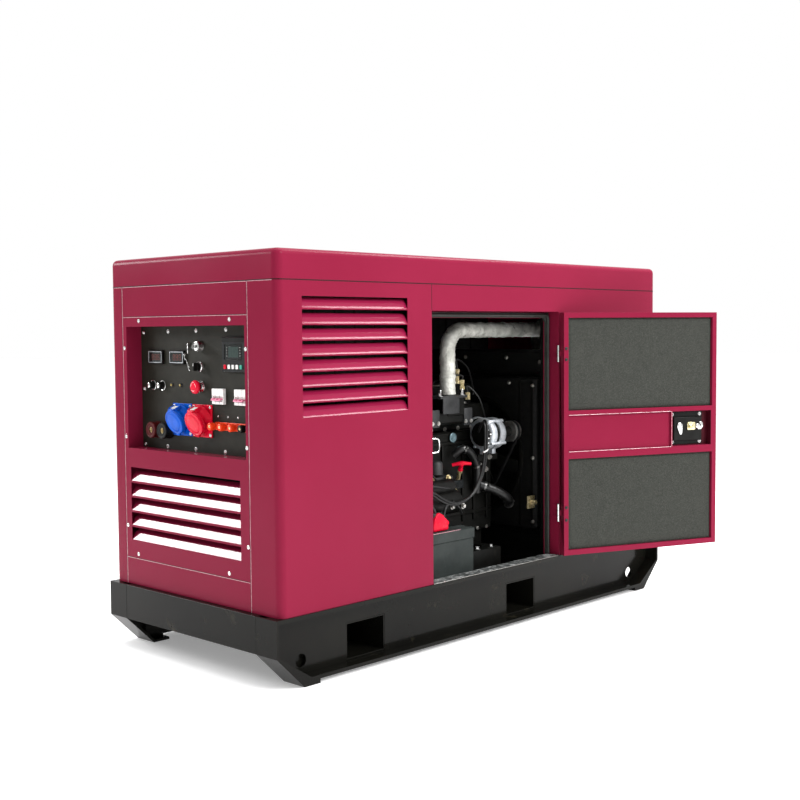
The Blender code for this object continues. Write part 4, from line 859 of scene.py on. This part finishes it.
def controller_face():
    """Screen, display and status lights of the controller module."""
    rim = Shape().border((-197.5, -116.5), (711.5, 758.5), 2.4, "X", PLATE_X - 12.7, PLATE_X - 10, 0.6)
    rim.place_as("controller_rim", "black_plastic")
    glass = Shape().box(proud(10.3, 11.4), (-195.5, -118.5), (713.5, 756.5), 0.3, 1)
    glass.place_as("controller_glass", "screen_glass")
    display = Shape().box(proud(11.2, 11.7), (-182, -136), (719.5, 750.5), 0.2, 1)
    display.place_as("controller_display", "lcd_grey")
    lights = Shape()
    for z in (748, 740, 732, 724):
        for y in (-189, -128.5):
            lights.lathe([(1.1, 0), (0.9, 0.5), (0, 0.7)], on_plate(y, z, 11.3), OUT, 12)
    lights.place_as("controller_lights", "white_plastic")
    hood = Shape().outline(rounded((-217, -107), (763, 777), 3, 3), "X", PLATE_X - 12.8, PLATE_X - 11.8,
        0.4, 1)
    hood.place_as("controller_head_band", "black_plastic")


def breaker_parts():
    for number, y in enumerate(((-107, -53), (-212, -158))):
        name = f"breaker_{number + 1}"
        front = Shape()
        pole = (y[1] - y[0]) / 3
        for k in range(3):
            low = y[0] + k * pole
            span = (low + 0.5, low + pole - 0.5)
            front.box(proud(9.5, 11.2), span, (607.5, 626.2), 0.5, 1)
            front.box(proud(9.2, 10.4), span, (581.8, 588), 0.4, 1)
            front.lathe([(2.6, 0), (2.6, 0.4), (1.9, 0.5), (1.5, -0.4), (0, -0.4)], on_plate(low + pole / 2,
                621.5, 11.2), OUT, 14)
        front.place_as(f"{name}_poles", "white_plastic")
        joints = Shape()
        for k in range(1, 3):
            at = y[0] + k * pole
            joints.box(proud(9.8, 10.1), around(at, 0.4), (581.5, 626.5))
        joints.place_as(f"{name}_joints", "grey_plastic")
        body = f"breaker_toggle_{number + 1}"
        axis_z = 597
        levers = Shape()
        for k in range(3):
            centre = y[0] + (k + 0.5) * pole
            profile = [(PLATE_X - 4.2, axis_z - 2.4), (PLATE_X - 17, axis_z - 3.4), (PLATE_X - 18.6,
                axis_z - 2), (PLATE_X - 18.4, axis_z + 0.6), (PLATE_X - 14, axis_z + 2.2), (PLATE_X - 4.2,
                axis_z + 2.4)]
            levers.outline(profile, "Y", centre - 3.6, centre + 3.6, 0.5, 1)
        levers.place_as(f"{body}_levers", "pink_plastic", body=body, replaces=(body,))
        bar = Shape().box(proud(15, 19.8), (y[0] + 5.5, y[1] - 5.5), (axis_z - 5.2, axis_z - 2.2), 0.8)
        bar.place_as(f"{body}_bar", "pink_plastic", body=body, slot="red_plastic")


def socket_parts():
    """Flange screws, barrel rings and sprung lids of the two industrial sockets."""
    tilt = radians(SOCKET_TILT_DEG)
    leaning = Matrix.Rotation(-tilt, 4, "Y")
    ahead = Vector((-cos(tilt), 0, -sin(tilt)))
    above = Vector((-sin(tilt), 0, cos(tilt)))
    for name, y, look in (("socket_blue", 102, "blue_plastic"), ("socket_red", 4, "red_plastic")):
        root = Vector((PLATE_X, y, SOCKETS_Z))
        rings = Shape()
        rings.lathe([(44.5, 3.5), (43.5, 6), (40, 11), (37.8, 16), (36.4, 19)], root - ahead * 2, ahead, 48)
        rings.lathe([(35.8, 23.5), (37.6, 24.3), (38.4, 25.5), (38.4, 28.5), (37.4, 29.7), (35.8, 29.9)],
            root, ahead, 48)
        rings.lathe([(33, 29), (33, 29.9), (30.2, 29.9), (30.2, 25)], root, ahead, 40)
        for side in (-1, 1):
            spot = root + ahead * 18.5 + above * 37.2
            rings.box(around(spot.x, 12), sorted((y + side * 15, y + side * 17.8)),
                (spot.z - 6, spot.z + 7), 0.8, 1, leaning)
        rings.place_as(f"{name}_rings", look)
        lid = Shape()
        lid.lathe([(0, 30.3), (37.8, 30.3), (39, 31.2), (39, 38.5), (38, 40.2), (35.2, 40.8), (34.2, 39.8),
            (30, 39.8), (29, 40.6), (20, 41.2), (10, 41.5), (0, 41.6)], root, ahead, 56)
        hinge = root + ahead * 33.5 + above * 39.5
        lid.tube([hinge + Vector((0, -14, 0)), hinge + Vector((0, 14, 0))], 3, 14)
        spot = root + ahead * 35.5 + above * 37
        lid.box(around(spot.x, 4.2), around(y, 12), (spot.z - 5, spot.z + 3.5), 0.8, 1, leaning)
        toe = root + ahead * 36 - above * 40
        lid.box(around(toe.x, 4), around(y, 9), (toe.z - 3, toe.z + 4), 1.2, 2, leaning)
        lid.place_as(f"{name}_lid_cap", look, body=f"{name}_lid", replaces=(f"{name}_lid",))
        tab = root + ahead * 18 + above * 40
        label = Shape().box(around(tab.x, 8.5), around(y, 14.5), around(tab.z, 1.2), 0.5, 1, leaning)
        label.place_as(f"{name}_white_tab", "white_plastic")
        screws = Shape()
        for dy in (-39.5, 39.5):
            for z in (487, 569):
                screws.screw(on_plate(y + dy, z, 5.1), OUT, 3.6, turn=(dy * 30 + z) * MM)
        screws.place_as(f"{name}_screws", "chrome")


def weld_socket_parts():
    """Ribbed collars and brass cores of the two welding sockets."""
    for name, y, look in (("positive", 235, "brown_plastic"), ("negative", 177, "black_plastic")):
        collar = Shape().lathe([(26.2, 0.4), (26.2, 5), (25, 6.2), (25, 22.5), (25.6, 24), (25.6, 28.5),
            (24.2, 30.8), (20.5, 31.2), (18.5, 30), (17, 26.2), (16.5, 30)], on_plate(y, WELD_SOCKETS_Z),
            OUT, 72, flutes=24, cut=0.6)
        collar.place_as(f"weld_socket_{name}_collar", look)
        core = Shape()
        core.lathe([(9.3, 8.5), (9.3, 26.2), (8.6, 27), (6.6, 27), (6.2, 26.2), (6.2, 10)],
            on_plate(y, WELD_SOCKETS_Z), OUT, 36)
        core.box(proud(24, 27.4), (y - 9.2, y - 6), around(WELD_SOCKETS_Z, 1.4), 0.3, 1)
        core.place_as(f"weld_socket_{name}_core", "brass")


def terminals():
    """Four screw terminals on a narrow strip: three orange and one black."""
    z = TERMINALS_Z
    strip = Shape()
    strip.outline(rounded((-222, -56), around(z, 12), 4, 4), "X", PLATE_X - 3, PLATE_X - 0.3, 0.8)
    black = Shape()
    studs = Shape()
    knob = [(8.8, 2.8), (10.5, 3.6), (10.5, 8.5), (7.8, 11), (7.8, 15), (11.2, 17), (11.6, 20), (11.6, 30),
        (10.8, 33), (8.5, 34.2), (6.2, 33.8), (5.2, 31.8), (0, 31.8)]
    for index in range(4):
        y = -68 - index * TERMINALS_APART
        target = black if index == 3 else strip
        target.lathe(knob, on_plate(y, z), OUT, 48, flutes=12, cut=1.1)
        studs.lathe([(4, 31.6), (4, 33.4), (3.2, 34), (0, 34)], on_plate(y, z), OUT, 16)
    strip.place_as("terminal_strip", "orange_plastic", replaces=("output_terminals",))
    black.place_as("terminal_black", "black_plastic", slot="black_plastic")
    studs.place_as("terminal_studs", "brass")
    marks = Shape()
    for index in range(3):
        marks.screw(on_plate(-68 - index * TERMINALS_APART, 544.5), OUT, 2.2, turn=index)
    marks.place_as("terminal_earth_screws", "chrome")


# ---------------------------------------------------------------- engine bay
def lagged_pipe():
    """Exhaust pipe wrapped in a spiral of silver lagging, creased at the bend."""
    y, x, top, bend = -155, 28, 793, 70
    route = [(x, y, 565 + 3.5 * i) for i in range(46)]
    route += [(x + bend - bend * cos(radians(a)), y, top - bend + bend * sin(radians(a))) for a in range(0,
        91, 3)]
    route += [(x + bend + 4 * i, y, top) for i in range(1, 126)]

    def wrap(along, angle, spot):
        turn = (along / 19 + angle / tau) % 1.0
        ridge = 1.9 * (1 - turn) if turn > 0.08 else 1.9 * turn / 0.08
        crease = noise.noise(spot * 0.046) * 1.6 + noise.noise(spot * 0.15) * 0.6
        return ridge + crease - 1

    pipe = Shape().tube(route, 26.8, 44, relief=wrap)
    pipe.place_as("exhaust_lagging", "lagging", smooth=60, replaces=("exhaust_pipe",))
    bands = Shape()
    for z in (572.5, 635):
        bands.lathe([(27.6, -4), (28.6, -3.5), (28.6, 3.5), (27.6, 4)], (x, y, z), UP, 40)
    for at in (200, 330):
        bands.lathe([(27.6, -4), (28.6, -3.5), (28.6, 3.5), (27.6, 4)], (at, y, top), RIGHT, 40)
    bands.place_as("lagging_bands", "lagging")


def exhaust_foot():
    foot = Shape()
    foot.box((-58, 82), (-200, -112), (560, 569), 2)
    foot.box((-46, 38), (-201, -195), (508, 564), 2)
    foot.lathe([(34, 0), (34, 6), (29, 10), (28.5, 18)], (28, -155, 556), UP, 36)
    foot.place_as("exhaust_flange", "cast_grey")
    nuts = Shape()
    for spot in ((-45, -186), (69, -186), (-45, -124), (69, -124)):
        nuts.bolt((*spot, 569), UP, 8, 10.5)
        nuts.lathe([(4, 10), (4, 20), (3.2, 21.2), (0, 21.2)], (*spot, 569), UP, 14)
    nuts.place_as("exhaust_flange_nuts", "chrome")
    runners = Shape()
    for x in (-190, -80, 90):
        runners.box(around(x, 22), (-196, -188), (464, 524), 3)
    runners.place_as("manifold_ribs", "cast_grey")
    bolts = Shape()
    for x in (-205, -175, -95, -65, 76, 104):
        bolts.bolt((x, -196, 478), FRONT, 5.5)
    bolts.place_as("manifold_bolts", "steel")


def block_details():
    plugs = Shape()
    for x in (-120, 52):
        plugs.lathe([(17.2, 0), (17.2, 3), (15, 4), (13.6, 2), (6, 0.4), (0, 0.2)], (x, -156, 420), FRONT,
            32)
    plugs.place_as("core_plugs", "coolant_blue")
    ribs = Shape()
    for x in (-245, -185, -60, 0, 105, 165, 235):
        ribs.box(around(x, 4.5), (-158, -149), (120, 395), 2.5)
    for z in (400, 150):
        ribs.box((-250, 262), (-157, -149), around(z, 6), 3)
    ribs.place_as("block_ribs", "engine_black")
    bolts = Shape()
    for x in (-230, -160, -90, -20, 50, 120, 190, 240):
        bolts.bolt((x, -150.2, 86), FRONT, 5.2)
        bolts.bolt((x, -120.2, 448), FRONT, 6)
    for x in (-200, -70, 70, 200):
        bolts.bolt((x, -86, 530), FRONT, 5.5)
    for x, y, z in ((-56, -247.5, 200), (-1, -247.5, 196), (169, -206.2, 304), (190, -206.2, 346)):
        bolts.bolt((x, y, z), FRONT, 7.5, 8)
    bolts.place_as("block_bolts", "steel")
    mount = Shape()
    mount.box((12, 175), (-270, -224), (-60, 38), 3)
    mount.box((0, 190), (-295, -218), (-61, -54), 2)
    mount.place_as("engine_mount", "engine_black")
    mount_bolt = Shape().bolt((71, -250, 38), UP, 8.5, 10)
    mount_bolt.bolt((145, -250, 38), UP, 7, 8)
    mount_bolt.place_as("engine_mount_bolts", "chrome")


def injector_lines():
    """Fuel lines, brass unions and injector bodies over the head."""
    unions, lines = Shape(), Shape()
    for spot, tall in (((109, -128, 605), 52), ((121, -140, 585), 34), ((150, -140, 548), 26)):
        unions.lathe([(9.5, 0), (9.5, 10), (7, 12), (7, tall - 14), (9, tall - 12), (9, tall - 2),
            (5, tall), (0, tall)], spot, UP, 6)
    for x in (75, 175):
        unions.bolt((x, -121, 505), FRONT, 7, 12)
    unions.place_as("fuel_unions", "brass")
    for first, last, sag in (((109, -128, 655), (240, -90, 560), 50), ((121, -140, 618), (20, -100, 605),
            22), ((150, -140, 572), (215, -165, 470), 34)):
        a, b = Vector(first), Vector(last)
        middle = (a + b) / 2 + Vector((0, -12, sag))
        lines.tube(smooth_route([a, a + Vector((0, 0, sag * 0.7)), middle, b + Vector((0, 0, sag * 0.4)),
            b], 8), 3, 10)
    lines.place_as("fuel_lines", "black_rubber")
    returns = Shape()
    returns.tube(smooth_route([(-230, -100, 585), (-100, -120, 610), (20, -105, 600), (110, -115, 612)], 8),
        3.2, 10)
    returns.place_as("fuel_return_line", "steel")


def hoses():
    """Coolant hoses with their clamps, the lifting hook, the fuse box and the injection pump with its
    fittings.
    """
    hose = Shape()
    hose.tube(smooth_route([(40, -168, 360), (59, -190, 382), (90, -196, 374), (122, -192, 345),
        (146, -186, 312), (155, -180, 270), (160, -172, 220)], 8), 13.5, 18)
    hose.tube(smooth_route([(330, -180, 160), (280, -215, 190), (230, -200, 222), (180, -168, 245)], 8), 17,
        18)
    hose.place_as("coolant_hoses", "black_rubber")
    clamps = Shape()
    for spot, way, radius in (((66, -192, 381), (1, -0.2, 0.2), 14.3), ((143, -187, 318), (0.5, 0.1, -0.85),
            14.3), ((318, -190, 167), (-0.8, -0.5, 0.4), 17.8), ((196, -178, 238), (-0.7, 0.5, 0.3), 17.8)):
        clamps.lathe([(radius, -4), (radius + 1, -3.8), (radius + 1, 3.8), (radius, 4)], spot, way, 32)
        up = Vector(spot) + Vector((0, -1, 0.3)).normalized() * (radius + 3)
        clamps.bolt(up, (0.3, -0.7, 0.6), 4, 6)
    clamps.place_as("hose_clamps", "dark_steel")
    hook = Shape().tube(smooth_route([(-150, -190, 432), (-128, -214, 432), (-100, -222, 430),
        (-93, -222, 418), (-93, -222, 398), (-100, -222, 386), (-128, -214, 384), (-150, -190, 384)], 6),
        3.5, 12)
    hook.place_as("lifting_hook", "chrome")
    tag = Shape().box((-14, 40), (-216, -206), (252, 279), 1.5)
    for i in range(7):
        x = -8 + i * 6.8
        tag.box((x, x + 3.4), (-217.6, -215.8), (256, 275), 0.5, 1)
    tag.place_as("fuse_box", "grey_plastic")
    pump = Shape()
    pump.box((-120, 12), (-195, -149), (235, 295), 6)
    pump.lathe([(0, 0), (22, 0), (26, 4), (26, 40), (20, 48), (0, 48)], (-60, -175, 300), UP, 28)
    pump.place_as("injection_pump", "cast_grey")
    ends = Shape()
    for x, z in ((-105, 290), (-80, 262), (-30, 292), (8, 240)):
        ends.bolt((x, -205.2, z), FRONT, 7.5, 9)
    ends.lathe([(10, 0), (10, 12), (7.5, 14), (7.5, 22), (0, 22)], (-100, -205, 250), FRONT, 20)
    ends.place_as("pump_fittings", "brass")


def alternator():
    """Cast shells round a dark stator, a black rear cover and its studs."""
    y, z = -217, 430
    start, way = Vector((125, y, z)), Vector((1, 0, 0))
    shells = Shape()
    shells.lathe([(42.5, 5), (50.5, 6.4), (54.5, 11), (56, 18), (56, 30.5), (51.5, 32)], start, way, 72)
    shells.lathe([(51.5, 49), (56, 50.5), (56, 70), (53.5, 80), (44, 90.5), (26, 96), (18, 98)], start, way,
        72)
    lugs = [on_circle((y, z), 55.5, angle) for angle in (35, 125, 215, 305)]
    for lug in lugs:
        centre = Vector((131, *lug))
        shells.lathe([(0, 0), (4.8, 0), (5.6, 2), (5.6, 74), (4.4, 78), (0, 78)], centre, way, 16)
    for x in (137, 180):
        shells.box((x, x + 18), around(y, 12), (z - 71.5, z - 48), 2)
    shells.place_as("alternator_shells", "aluminium", smooth=45, replaces=("charging_alternator",))
    dark = Shape()
    dark.lathe([(50, 30), (50.8, 32), (50.8, 49), (50, 51)], start, way, 56)
    dark.lathe([(18, 97), (18, 159), (0, 159)], start, way, 24)
    dark.lathe([(0, 1.2), (34, 1.2), (39, 3), (42.5, 6.8), (43, 11)], start, way, 48, flutes=16, cut=1.6)
    dark.place_as("alternator_dark_parts", "engine_black")
    studs = Shape()
    for number in range(7):
        reach, radius = (45.5, 4.6) if number % 2 else (40, 3.4)
        spot = Vector((start.x + 4.5, *on_circle((y, z), reach, 112 + 21 * number)))
        studs.bolt(spot, (-1, 0, 0), radius, 7)
    for lug in lugs:
        studs.bolt(Vector((208.5, *lug)), RIGHT, 4.2, 5)
    studs.place_as("alternator_studs", "chrome")
    guard = Shape()
    guard.tube([(118, *on_circle((y, z), 59, a)) for a in range(50, 141, 9)], 3.4, 12)
    guard.place_as("alternator_guard", "aluminium")


def alternator_leads():
    """Two cables held together from the alternator to the starter, with white ties."""
    route = [(119, -228, 462), (116, -248, 480), (109.5, -263, 455), (104, -264, 366), (85, -264, 300),
        (40, -264, 240), (-20, -264, 215), (-75, -264, 216), (-130, -264, 238), (-170, -268, 258),
        (-197, -263, 254), (-200, -245, 250)]
    shift = Vector((-10.5, 0.5, -4.5))
    first = smooth_route(route, 6)
    second = smooth_route([Vector(route[0]) + Vector((0, 12, -24))] + [Vector(p) + shift
        for p in route[1:]], 6)
    for name, path, stands in (("alternator_lead_upper", first, ("alternator_cables",)),
            ("alternator_lead_lower", second, ())):
        cable = Shape().tube(path, 4.4, 14)
        piece = cable.place_as(name, "black_rubber", replaces=stands)
    ties = Shape()
    for index in (17, 30):
        middle = (first[index] + second[index]) / 2
        along = (first[index + 1] - first[index - 1]).normalized()
        across = (first[index] - second[index]).normalized()
        out = along.cross(across)
        for shift_along in (-1.2, 1.2):
            loop = [middle + along * shift_along + across * 11.2 * cos(tau * i / 24) + out * 5.8
                * sin(tau * i / 24) for i in range(24)]
            ties.tube(loop, 1.7, 8, closed=True)
        head = middle - out * 6.5 + across * 4
        ties.box(around(head.x, 3), around(head.y, 3), around(head.z, 3), 0.8)
    ties.place_as("cable_ties", "white_plastic")
    loom = Shape()
    loom.tube(smooth_route([(-240, -215, 330), (-180, -235, 285), (-120, -240, 272), (-60, -236, 262),
        (-10, -226, 262)], 8), 5, 12)
    loom.tube(smooth_route([(-240, -190, 360), (-170, -212, 330), (-110, -216, 300), (-85, -206, 268)], 8),
        3.6, 12)
    loom.tube(smooth_route([(-10, -250, 170), (-40, -264, 196), (-68, -258, 222)], 8), 4, 12)
    loom.tube(smooth_route([(-120, -262, 160), (-115, -266, 196), (-96, -262, 214)], 8), 4.6, 12)
    loom.place_as("engine_loom", "black_rubber")


def dipstick_parts():
    foot, seat = Vector((75, -145, 235)), Vector((40, -200, 312))
    along = (seat - foot).normalized()
    guide = Shape()
    guide.lathe([(7, 0), (7.8, 2), (7.8, 12), (7.2, 14)], seat - along * 66, along, 24)
    guide.lathe([(7.2, 0), (7.2, 52), (8.4, 54), (8.4, 64.5), (5.2, 65)], seat - along * 66, along, 24)
    guide.place_as("dipstick_guide", "brass")
    stick = Shape()
    across = Vector((0.72, -0.69, 0.05)).normalized()
    grip = seat + along * 32
    bar = [grip + across * (-32 + 4 * i) - along * 5 * abs(-1 + i / 8) ** 2 for i in range(17)]
    stick.tube(bar, 5.8, 16, relief=lambda s, a, p: 2.2 * exp(-((s - 32) / 12) ** 2))
    stick.lathe([(0, 0.3), (8.8, 0.4), (9.5, 3), (8.4, 8), (7.2, 15), (8, 24), (10, 30), (0, 33)], seat,
        along, 28)
    stick.lathe([(0, -90), (2.8, -89), (2.8, 2), (0, 2)], seat, along, 12)
    stick.place_as("dipstick_handle", "red_plastic", body="dipstick", replaces=("dipstick",))


def battery_parts():
    """Lid ribs, a painted reflection strip along the lid's front top edge, and the red terminal cap with
    its cable.
    """
    lid = Shape()
    for y in (-281.5, -248, -236):
        lid.box((-214, 3), around(y, 3), (126.5, 129.5), 1)
    lid.place_as("battery_lid_ribs", "battery_grey")
    # Painted reflection: a pale strip along the lid's front top edge
    label = Shape().box((-213, -62), (-290.5, -285), (126.8, 127.6), 0.2, 1)
    label.place_as("battery_lid_reflection", "painted_edge_highlight", slot="red_plastic")
    cap = Shape()
    cap.outline([(-172, 128), (-100, 128), (-96, 138), (-100, 152), (-112, 161), (-120, 180), (-138, 190),
        (-156, 186), (-168, 168), (-174, 144)], "Y", -269, -242.2, 6, 3)
    cap.lathe([(8.5, 0), (10.5, 4), (10.5, 16), (9, 22), (0, 22)], (-112, -254, 146), (0.9, 0, 0.25), 24)
    cap.place_as("battery_terminal_cap", "red_plastic")
    cable = Shape().tube(smooth_route([(-146, -254, 180), (-156, -256, 198), (-168, -256, 214),
        (-168, -248, 232)], 8), 5.5, 14)
    cable.place_as("battery_cable", "black_rubber")


def cooling_details():
    """Fins of the radiator, the bolted shroud and fittings near the fan."""
    fins = Shape()
    for i in range(46):
        y = -292 + i * 13
        fins.box((427.5, 431.2), around(y, 0.6), (48, 628))
    fins.place_as("radiator_fins", "engine_black")
    ribs = Shape()
    for y in (-255, -200, 200, 255):
        ribs.box((369, 372.5), around(y, 4), (80, 610), 1)
    ribs.lathe([(208, 0), (216, -1), (218, -5), (216, -8.5), (208, -9)], (372.2, 0.0, 330), RIGHT, 72)
    ribs.place_as("shroud_ribs", "engine_black")
    bolts = Shape()
    for y, z in ((-258, 592), (-258, 330), (-258, 98), (258, 592), (258, 98), (-150, 600), (150, 600)):
        bolts.bolt((371.8, y, z), (-1, 0, 0), 6)
    for y, z in ((-255, 675), (-100, 690), (100, 690)):
        bolts.bolt((419.5, y, z), (-1, 0, 0), 6)
    bolts.place_as("shroud_bolts", "steel")
    bracket = Shape()
    bracket.box((332, 372), (-268, -262), (150, 196), 2)
    bracket.lathe([(10, 0), (10, 16), (8, 20), (0, 20)], (352, -268, 173), FRONT, 6)
    bracket.place_as("radiator_bracket", "brass")
    post = Shape().box((342, 370), (-345, -315), (-59, 900), 2)
    post.place_as("canopy_post", "dark_lining")


panel_fixings()
panel_seams()
linings()
sill()
skid_gussets()
seal_bulb()
hinges()
foam_pad("door_foam_upper", (-629.1, -23.9), (510.4, 832.1))
foam_pad("door_foam_lower", (-629.1, -23.9), (21.4, 340.6))
door_strip()
latch()
plate_screws()
meters()
key_switch()
selector()
stop_button()
dials()
lamps()
button_caps()
controller_face()
breaker_parts()
socket_parts()
weld_socket_parts()
terminals()
lagged_pipe()
exhaust_foot()
block_details()
injector_lines()
hoses()
alternator()
alternator_leads()
dipstick_parts()
battery_parts()
cooling_details()


# ---------------------------------------------------------------- floor, light and camera
def floor():
    mesh = bpy.data.meshes.new("floor")
    half = 40.0
    mesh.from_pydata([(-half, -half, 0), (half, -half, 0), (half, half, 0), (-half, half, 0)], [],
        [(0, 1, 2, 3)])
    mesh.materials.append(surface("studio_floor", (0.86,) * 3, (0.9,) * 3, (0.55, 0.7), 1.5, 300, 0.02,
        emission=0.3))
    item = bpy.data.objects.new("floor", mesh)
    bpy.context.scene.collection.objects.link(item)


def area_light(name, spot, aim, size, power, colour=(1, 1, 1)):
    data = bpy.data.lights.new(name, "AREA")
    data.shape = "RECTANGLE"
    data.size, data.size_y = size
    data.energy = power
    data.color = colour
    item = bpy.data.objects.new(name, data)
    bpy.context.scene.collection.objects.link(item)
    item.location = spot
    item.rotation_euler = (Vector(aim) - Vector(spot)).to_track_quat("-Z", "Y").to_euler()
    item.visible_camera = False


def sky():
    """A white studio all round, dimmer on the control end's side."""
    world = bpy.data.worlds.new("studio")
    bpy.context.scene.world = world
    world.use_nodes = True
    nodes, links = world.node_tree.nodes, world.node_tree.links
    background = nodes["Background"]
    coords = nodes.new("ShaderNodeTexCoord")
    split = nodes.new("ShaderNodeSeparateXYZ")
    links.new(coords.outputs["Generated"], split.inputs["Vector"])
    side = nodes.new("ShaderNodeMapRange")
    side.interpolation_type = "SMOOTHSTEP"
    settings(side, From__Min=-0.75, From__Max=0.05, To__Min=0.62, To__Max=1.0)
    links.new(split.outputs["X"], side.inputs["Value"])
    rays = nodes.new("ShaderNodeLightPath")
    brighter = nodes.new("ShaderNodeMath")
    brighter.operation = "MAXIMUM"
    links.new(side.outputs["Result"], brighter.inputs[0])
    links.new(rays.outputs["Is Camera Ray"], brighter.inputs[1])
    links.new(brighter.outputs["Value"], background.inputs["Strength"])
    background.inputs["Color"].default_value = (1, 1, 1, 1)


def camera():
    """Where the photograph was taken from: yaw, pitch and roll in radians, and the lens."""
    yaw, pitch, roll, lens = 0.7652, -0.0576, -0.0081, 54.155
    ahead = Vector((cos(pitch) * cos(yaw), cos(pitch) * sin(yaw), sin(pitch)))
    right = ahead.cross(Vector((0, 0, 1))).normalized()
    up = right.cross(ahead)
    across = right * cos(roll) + up * sin(roll)
    upright = up * cos(roll) - right * sin(roll)
    spot = PLACE @ Vector((-3079.4, -2910.9, 792.9))
    turn = Matrix((across, upright, -ahead)).transposed().to_4x4()
    data = bpy.data.cameras.new("camera")
    data.lens = lens
    item = bpy.data.objects.new("camera", data)
    bpy.context.scene.collection.objects.link(item)
    item.matrix_world = Matrix.Translation(spot) @ turn
    bpy.context.scene.camera = item


floor()
area_light("key", (1.2, -5.5, 4.2), (0.1, 0, 0.6), (3.5, 2.5), 420)
area_light("top", (0.0, 0.0, 5.0), (0.0, 0, 0.6), (5.0, 3.5), 240)
area_light("louvre_glint", (-2.75, 3.79, 2.44), (-0.95, 0.18, 0.46), (1.7, 1.3), 125)
area_light("blade_glint", (2.55, -0.77, 4.01), (-0.6, -0.27, 0.86), (1.6, 1.0), 78)
sky()
camera()
bpy.context.scene.view_settings.view_transform = "Standard"
